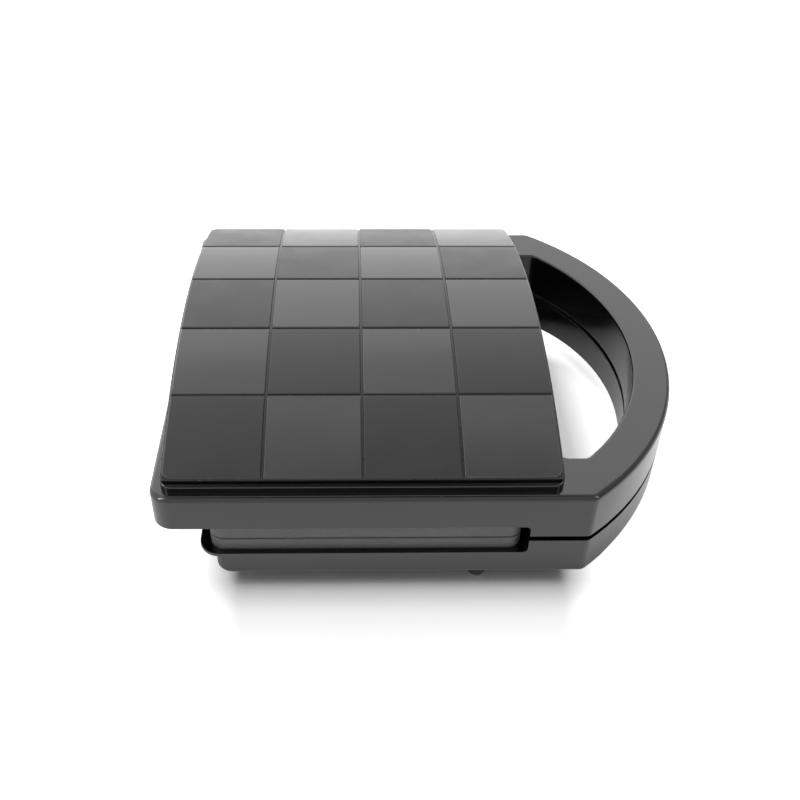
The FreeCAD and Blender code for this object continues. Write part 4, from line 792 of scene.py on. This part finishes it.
class WAFFLE_OT_feet(bpy.types.Operator):
    """Model the four tapered rubber feet"""

    bl_idname = "waffle.feet"
    bl_label = "Feet"

    def execute(self, context):
        edge_round = context.scene.maker_sizes.foot_edge
        rubber = make_finish("rubber")
        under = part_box("base_cover")[0].z
        for node in ("front_foot_right", "front_foot_left", "rear_foot_right", "rear_foot_left"):
            low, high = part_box(node)
            middle = (low + high) / 2
            sole = (middle.x, middle.y, low.z)
            foot = add_rod(f"{node}_pad", sole, (high.x - low.x) / 2, under - low.z, vertices=64)
            with editing(foot) as mesh:
                pick_faces(mesh, lambda face: face.normal.z < FACES_DOWN)
                bpy.ops.transform.resize(value=(FOOT_SOLE_SHARE, FOOT_SOLE_SHARE, 1), center_override=sole)
            round_edges(foot, lambda edge: level_at(edge, low.z), edge_round, segments=4)
            with editing(foot) as mesh:
                pick_faces(mesh, lambda face: face.normal.z < FACES_STRAIGHT_DOWN)
                bpy.ops.mesh.inset(thickness=edge_round, depth=0.0)
                bpy.ops.mesh.inset(thickness=edge_round / 2, depth=-edge_round / 2)
            stem = add_rod("stem", (middle.x, middle.y, under), FOOT_STEM_RADIUS, high.z - under, vertices=32)
            round_edges(stem, lambda edge: level_at(edge, high.z), edge_round, segments=3)
            foot = join(f"{node}_pad", [foot, stem])
            smooth(foot)
            finish_piece(foot, "base", "foot_rubber", rubber, node)
        return {"FINISHED"}


class WAFFLE_OT_hinge_pins(bpy.types.Operator):
    """Model the two headed hinge pins"""

    bl_idname = "waffle.hinge_pins"
    bl_label = "Hinge pins"

    def execute(self, context):
        edge_round = context.scene.maker_sizes.pin_edge
        steel = make_finish("pin")
        for side, hand in (("right", -1), ("left", 1)):
            node = f"hinge_pin_{side}"
            low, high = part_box(node)
            crown = low.y if hand < 0 else high.y
            head_foot = crown if hand < 0 else crown - PIN_HEAD
            shaft = add_rod(f"pin_{side}", (HINGE_X, low.y + edge_round, HINGE_Z), PIN_RADIUS,
                            high.y - low.y - 2 * edge_round, vertices=48, axis="Y")
            head = add_rod("head", (HINGE_X, head_foot, HINGE_Z), (high.x - low.x) / 2, PIN_HEAD,
                           vertices=48, axis="Y")
            round_edges(head, lambda edge: all(abs(co.y - crown) < SAME_PLACE for co in ends(edge)),
                        edge_round, segments=4)
            pin = join(f"pin_{side}", [shaft, head])
            smooth(pin)
            finish_piece(pin, "lid", "pin_steel", steel, node)
        return {"FINISHED"}


# Checker panel

TILE_COLUMNS = 4
TILE_ROWS = 5
SLICES_PER_ROW = 10
# Share of the border's width that its round takes
BORDER_ROUND = 0.9


def bend_to_vault(obj, radius):
    """Lays a flat sheet, drawn at the crown with Y as arc length, on the vault."""
    axis = PANEL_HIGH.z - radius
    for vert in obj.data.vertices:
        angle = vert.co.y / radius
        reach = vert.co.z - axis
        vert.co.y = reach * math.sin(angle)
        vert.co.z = axis + reach * math.cos(angle)


class WAFFLE_OT_checker_panel(bpy.types.Operator):
    """Model the vaulted panel of polished and satin tiles"""

    bl_idname = "waffle.checker_panel"
    bl_label = "Checker panel"

    def execute(self, context):
        size = context.scene.maker_sizes
        top = PANEL_HIGH.z
        pitch = (PANEL_HIGH.x - PANEL_LOW.x) / TILE_COLUMNS
        half_arc = TILE_ROWS * pitch / 2
        groove = top - size.tile_depth
        tray = add_block("tile_tray", (PANEL_LOW.x, -half_arc, top - size.panel_thickness),
                         (PANEL_HIGH.x, half_arc, groove))
        round_edges(tray, upright, size.panel_corner, segments=8)
        round_edges(tray, lambda edge: level_at(edge, groove), size.panel_border * BORDER_ROUND, segments=4)
        tiles = {"tiles_satin": [], "tiles_polished": []}
        for column in range(TILE_COLUMNS):
            for row in range(TILE_ROWS):
                kind = "tiles_polished" if (column + row) % 2 else "tiles_satin"
                tiles[kind].append(self.add_tile(column, row, pitch, half_arc, size))
        satin, polished = [join(name, pieces) for name, pieces in tiles.items()]
        for obj in (tray, satin, polished):
            with editing(obj):
                for index in range(1, SLICES_PER_ROW * TILE_ROWS):
                    bpy.ops.mesh.select_all(action="SELECT")
                    place = index * pitch / SLICES_PER_ROW - half_arc
                    bpy.ops.mesh.bisect(plane_co=(0, place, 0), plane_no=(0, 1, 0))
            bend_to_vault(obj, size.vault_radius)
            even_shading(obj, degrees=30)
        finish_piece(tray, "lid", "tiles", make_finish("groove"), "checker_panel")
        finish_piece(satin, "lid", "tiles", make_finish("tile_dark"))
        finish_piece(polished, "lid", "tiles", make_finish("tile_light"))
        return {"FINISHED"}

    def add_tile(self, column, row, pitch, half_arc, size):
        """A flat tile at the crown's height, with half a groove or the panel's border left round it."""
        top = PANEL_HIGH.z
        inner = size.tile_gap / 2
        before = [inner if place else size.panel_border for place in (column, row)]
        after = [inner if place < count - 1 else size.panel_border
                 for place, count in ((column, TILE_COLUMNS), (row, TILE_ROWS))]
        low = (PANEL_LOW.x + column * pitch + before[0],
               row * pitch - half_arc + before[1],
               top - size.tile_depth)
        high = (PANEL_LOW.x + (column + 1) * pitch - after[0],
                (row + 1) * pitch - half_arc - after[1],
                top)
        tile = add_block("tile", low, high)
        if column in (0, TILE_COLUMNS - 1) and row in (0, TILE_ROWS - 1):
            self.round_outer_corner(tile, half_arc - size.panel_border, size)
        round_edges(tile, lambda edge: level_at(edge, top), size.tile_edge, segments=3)
        return tile

    def round_outer_corner(self, tile, half_arc, size):
        """Rounds the upright edge that is also a corner of the checker."""
        left, right = PANEL_LOW.x + size.panel_border, PANEL_HIGH.x - size.panel_border

        def outer(edge):
            spot = ends(edge)[0]
            at_end = min(abs(spot.x - left), abs(spot.x - right)) < SAME_PLACE
            return upright(edge) and at_end and abs(abs(spot.y) - half_arc) < SAME_PLACE

        round_edges(tile, outer, size.panel_corner - size.panel_border, segments=8)


# Studio

# The camera, in metres, radians, and millimetres for its lens and sensor
CAMERA_PLACE = Vector((-0.0398, -0.4380, 0.3812))
CAMERA_YAW = 0.02374
CAMERA_PITCH = 0.69154
CAMERA_ROLL = 0.01207
CAMERA_LENS = 44.83
CAMERA_SENSOR = 36.0
CAMERA_SHIFT = 0.0408
CAMERA_NEAR = 0.01
LAMP_TARGET = Vector((0, 0, 0.04))
RIGHT_STRIP_SHARE = 0.5
# Y of the direction over which the world that gloss sees grows from the front's level to white
ROOM_FRONT = -0.5
ROOM_BACK = 0.4
# Z of the direction from which the ceiling dims
CEILING_START = 0.93
FLOOR_WIDTH = 12
FLOOR_HEIGHT = -0.05 * MM
FLOOR_ROUGHNESS = 0.55
FLOOR_SPECULAR = 0.3
# Plan of the part of the floor that stays dark, where a shadow is painted into the floor's glow, and how much
# faster that painted shadow fades sideways than ahead
SHADOW_LOW = Vector((-0.09, -0.112, -1))
SHADOW_HIGH = Vector((0.06, 0.085, 1))
SHADOW_SIDEWAYS = 6
# The painted shadow's short edge round the base, and the start of its long tail
CONTACT_START = 2.5 * MM
CONTACT_END = 12 * MM
CONTACT_LIFT = 0.22
TAIL_START = 28 * MM
# The floor in the hand gap, which has a painted shade from the body outwards
GAP_MIDDLE = (0.06, 0, 0)
GAP_RADIUS = 64 * MM
GAP_OUTSIDE = 1.3 * GAP_RADIUS
GAP_SHADE_START = 86 * MM
GAP_SHADE_END = 119 * MM
# Outer arc of the loop handle
LOOP_RADIUS = 149.3 * MM
# Share of the way to the object's edge at which gloss begins to see the floor's painted reflection white
MIRROR_START = 0.9


def background_ray(nodes):
    """1 for rays that should see the white background: the camera's, and those of gloss and glass."""
    path = nodes.node("ShaderNodeLightPath").outputs
    first = nodes.math("MAXIMUM", path["Is Camera Ray"], path["Is Glossy Ray"])
    return nodes.math("MAXIMUM", first, path["Is Transmission Ray"])


class WAFFLE_OT_stage(bpy.types.Operator):
    """Set up the floor, the soft lights, the white world and the camera"""

    bl_idname = "waffle.stage"
    bl_label = "Studio"

    def execute(self, context):
        studio = context.scene.maker_studio
        self.add_floor(context, studio)
        self.add_world(context, studio)
        right_level = studio.strip_light * RIGHT_STRIP_SHARE
        # Name, place, width and height, level, and the kind of light that each lamp doesn't give
        lamps = [
            ("back softbox", (-0.3, 1.4, 0.68), (3.2, 1.85), studio.back_light, "visible_diffuse"),
            ("key softbox", (-0.1, 0.13, 1.5), (0.8, 0.35), studio.key_light, "visible_glossy"),
            ("left strip", (-0.9, -0.55, 0.75), (0.25, 0.9), studio.strip_light, "visible_diffuse"),
            ("right strip", (0.9, -0.55, 0.75), (0.25, 0.9), right_level, "visible_diffuse"),
        ]
        for name, place, size, level, withheld in lamps:
            lamp = self.add_lamp(name, place, size, level)
            setattr(lamp, withheld, False)
        self.add_camera(context)
        context.scene.view_settings.view_transform = "Standard"
        return {"FINISHED"}

    def add_floor(self, context, studio):
        """A pale floor whose real shadow the camera sees, deepened by a painted shadow in its glow. It is
        clear from below.
        """
        clear_selection()
        bpy.ops.mesh.primitive_plane_add(size=FLOOR_WIDTH, location=(0, 0, FLOOR_HEIGHT))
        floor = settle("studio_floor")
        material = bpy.data.materials.new("Studio floor")
        material.use_nodes = True
        nodes = NodeMaker(material.node_tree)
        shader = nodes.tree.nodes["Principled BSDF"]
        nodes.feed_all(shader, Base_Color=(*context.scene.maker_colours.floor, 1.0),
                       Roughness=FLOOR_ROUGHNESS, Specular_IOR_Level=FLOOR_SPECULAR)
        place = nodes.node("ShaderNodeTexCoord").outputs["Object"]
        glossy = nodes.node("ShaderNodeLightPath").outputs["Is Glossy Ray"]
        painted_shadow_white = self.floor_painted_shadow(nodes, place, studio)
        painted_reflection_white = self.floor_painted_reflection(nodes, place, studio)
        white = nodes.blend(glossy, painted_shadow_white, painted_reflection_white)
        # The floor's glow: a painted shadow for the camera and a painted reflection for gloss
        lift = nodes.node("ShaderNodeEmission")
        nodes.feed_all(lift, Strength=nodes.math("MULTIPLY", background_ray(nodes), white))
        both = nodes.node("ShaderNodeAddShader")
        nodes.feed(both.inputs[0], shader.outputs["BSDF"])
        nodes.feed(both.inputs[1], lift.outputs["Emission"])
        seen = nodes.node("ShaderNodeMixShader")
        nodes.feed(seen.inputs["Fac"], nodes.node("ShaderNodeNewGeometry").outputs["Backfacing"])
        nodes.feed(seen.inputs[1], both.outputs["Shader"])
        nodes.feed(seen.inputs[2], nodes.node("ShaderNodeBsdfTransparent").outputs["BSDF"])
        nodes.feed(nodes.tree.nodes["Material Output"].inputs["Surface"], seen.outputs["Shader"])
        floor.data.materials.append(material)

    def floor_painted_shadow(self, nodes, place, studio):
        """Painted shadow in the white that the camera sees: least under the object, more away from it and
        across its hand gap.
        """
        offset = nodes.vector_math("SUBTRACT", place, (SHADOW_LOW + SHADOW_HIGH) / 2)
        offset = nodes.vector_math("ABSOLUTE", offset)
        offset = nodes.vector_math("SUBTRACT", offset, (SHADOW_HIGH - SHADOW_LOW) / 2)
        offset = nodes.vector_math("MAXIMUM", offset, (0, 0, 0))
        away = nodes.vector_math("LENGTH", offset)
        contact = nodes.spread(away, CONTACT_START, CONTACT_END, studio.floor_lift, CONTACT_LIFT, eased=True)
        offset = nodes.vector_math("MULTIPLY", offset, (SHADOW_SIDEWAYS, 1, 1))
        away = nodes.vector_math("LENGTH", offset)
        tail = nodes.spread(away, TAIL_START, studio.painted_shadow_reach, most=1.0 - CONTACT_LIFT)
        around = nodes.math("ADD", contact, tail)
        # Painted shade in the hand gap, darkest next to the body and white towards the loop
        gap = nodes.spread(nodes.parts(place)["X"], GAP_SHADE_START, GAP_SHADE_END)
        outside = nodes.spread(nodes.vector_math("DISTANCE", place, GAP_MIDDLE), GAP_RADIUS, GAP_OUTSIDE)
        return nodes.blend(outside, gap, around)

    def floor_painted_reflection(self, nodes, place, studio):
        """Painted reflection: white that gloss alone sees on the floor, none under the object and in its hand
        gap.
        """
        parts = nodes.parts(place)
        from_loop = nodes.vector_math("DISTANCE", place, (CAD_HIGH.x - LOOP_RADIUS, 0, 0))
        white = 0.0
        for value, edge, level in [
            (parts["Y"], CAD_LOW.y, studio.floor_gloss),
            (parts["Y"], CAD_HIGH.y, 1.0),
            (parts["X"], CAD_LOW.x, studio.floor_gloss),
            (from_loop, LOOP_RADIUS, studio.floor_gloss),
        ]:
            side = nodes.spread(value, edge * MIRROR_START, edge, most=level, eased=True)
            white = nodes.math("MAXIMUM", white, side)
        return white

    def add_world(self, context, studio):
        """White for the camera and for gloss, and a dimmer fill for matt surfaces."""
        world = bpy.data.worlds.new("White studio")
        context.scene.world = world
        world.use_nodes = True
        nodes = NodeMaker(world.node_tree)
        fill = nodes.tree.nodes["Background"]
        nodes.feed_all(fill, Color=(1, 1, 1, 1), Strength=studio.fill)
        white = nodes.node("ShaderNodeBackground")
        nodes.feed_all(white, Color=(1, 1, 1, 1), Strength=self.white_level(nodes, studio))
        mix = nodes.node("ShaderNodeMixShader")
        nodes.feed(mix.inputs["Fac"], background_ray(nodes))
        nodes.feed(mix.inputs[1], fill.outputs["Background"])
        nodes.feed(mix.inputs[2], white.outputs["Background"])
        nodes.feed(nodes.tree.nodes["World Output"].inputs["Surface"], mix.outputs["Shader"])

    def white_level(self, nodes, studio):
        """White for the camera. Gloss sees white behind the object and a dimmer room in front and above."""
        way = nodes.parts(nodes.node("ShaderNodeTexCoord").outputs["Generated"])
        room = nodes.spread(way["Y"], ROOM_FRONT, ROOM_BACK, studio.front_gloss, 1.0, eased=True)
        side = nodes.math("MULTIPLY_ADD", way["X"], -studio.side_gloss, 1.0)
        ceiling = nodes.spread(way["Z"], CEILING_START, 1.0, 1.0, studio.ceiling_gloss, eased=True)
        gloss = nodes.math("MULTIPLY", nodes.math("MULTIPLY", room, side), ceiling)
        camera = nodes.node("ShaderNodeLightPath").outputs["Is Camera Ray"]
        return nodes.blend(camera, gloss, 1.0)

    def add_lamp(self, name, place, size, level):
        """A rectangle of the given brightness, turned towards the object."""
        clear_selection()
        bpy.ops.object.light_add(type="AREA", location=place)
        lamp = bpy.context.active_object
        lamp.name = name
        lamp.data.shape = "RECTANGLE"
        lamp.data.size, lamp.data.size_y = size
        lamp.data.energy = level * math.pi * size[0] * size[1]
        lamp.rotation_euler = (LAMP_TARGET - Vector(place)).to_track_quat("-Z", "Y").to_euler()
        return lamp

    def add_camera(self, context):
        """A camera at the photograph's viewing angle."""
        clear_selection()
        bpy.ops.object.camera_add(location=CAMERA_PLACE)
        camera = bpy.context.active_object
        camera.name = "photo camera"
        level = math.cos(CAMERA_PITCH)
        ahead = Vector((math.sin(CAMERA_YAW) * level, math.cos(CAMERA_YAW) * level, -math.sin(CAMERA_PITCH)))
        aside = Vector((math.cos(CAMERA_YAW), -math.sin(CAMERA_YAW), 0))
        over = aside.cross(ahead)
        right = math.cos(CAMERA_ROLL) * aside + math.sin(CAMERA_ROLL) * over
        up = math.cos(CAMERA_ROLL) * over - math.sin(CAMERA_ROLL) * aside
        camera.rotation_euler = Matrix((right, up, -ahead)).transposed().to_euler()
        camera.data.sensor_width = CAMERA_SENSOR
        camera.data.lens = CAMERA_LENS
        camera.data.shift_x = CAMERA_SHIFT
        camera.data.clip_start = CAMERA_NEAR
        context.scene.camera = camera


# Sidebar panel and registration

class WAFFLE_PT_maker(bpy.types.Panel):
    """Lists the steps and settings of the waffle cone maker"""

    bl_idname = "WAFFLE_PT_maker"
    bl_label = "Waffle Cone Maker"
    bl_space_type = "VIEW_3D"
    bl_region_type = "UI"
    bl_category = "Waffle Maker"

    def draw(self, context):
        for step in STEPS:
            self.layout.operator(step.bl_idname)
        for settings in (context.scene.maker_sizes, context.scene.maker_colours, context.scene.maker_studio):
            box = self.layout.box()
            for key in settings.bl_rna.properties.keys():
                if key not in ("rna_type", "name"):
                    box.prop(settings, key)


STEPS = [
    WAFFLE_OT_dress_solids, WAFFLE_OT_mouldings, WAFFLE_OT_checker_panel, WAFFLE_OT_baking_plates,
    WAFFLE_OT_screws, WAFFLE_OT_feet, WAFFLE_OT_hinge_pins, WAFFLE_OT_stage,
]
CLASSES = [MakerSizes, MakerColours, MakerStudio] + STEPS + [WAFFLE_PT_maker]


def register():
    for item in CLASSES:
        bpy.utils.register_class(item)
    bpy.types.Scene.maker_sizes = bpy.props.PointerProperty(type=MakerSizes)
    bpy.types.Scene.maker_colours = bpy.props.PointerProperty(type=MakerColours)
    bpy.types.Scene.maker_studio = bpy.props.PointerProperty(type=MakerStudio)


def unregister():
    del bpy.types.Scene.maker_studio
    del bpy.types.Scene.maker_colours
    del bpy.types.Scene.maker_sizes
    for item in reversed(CLASSES):
        bpy.utils.unregister_class(item)


def main():
    register()
    for step in STEPS:
        group, name = step.bl_idname.split(".")
        getattr(getattr(bpy.ops, group), name)()


if __name__ == "__main__":
    main()
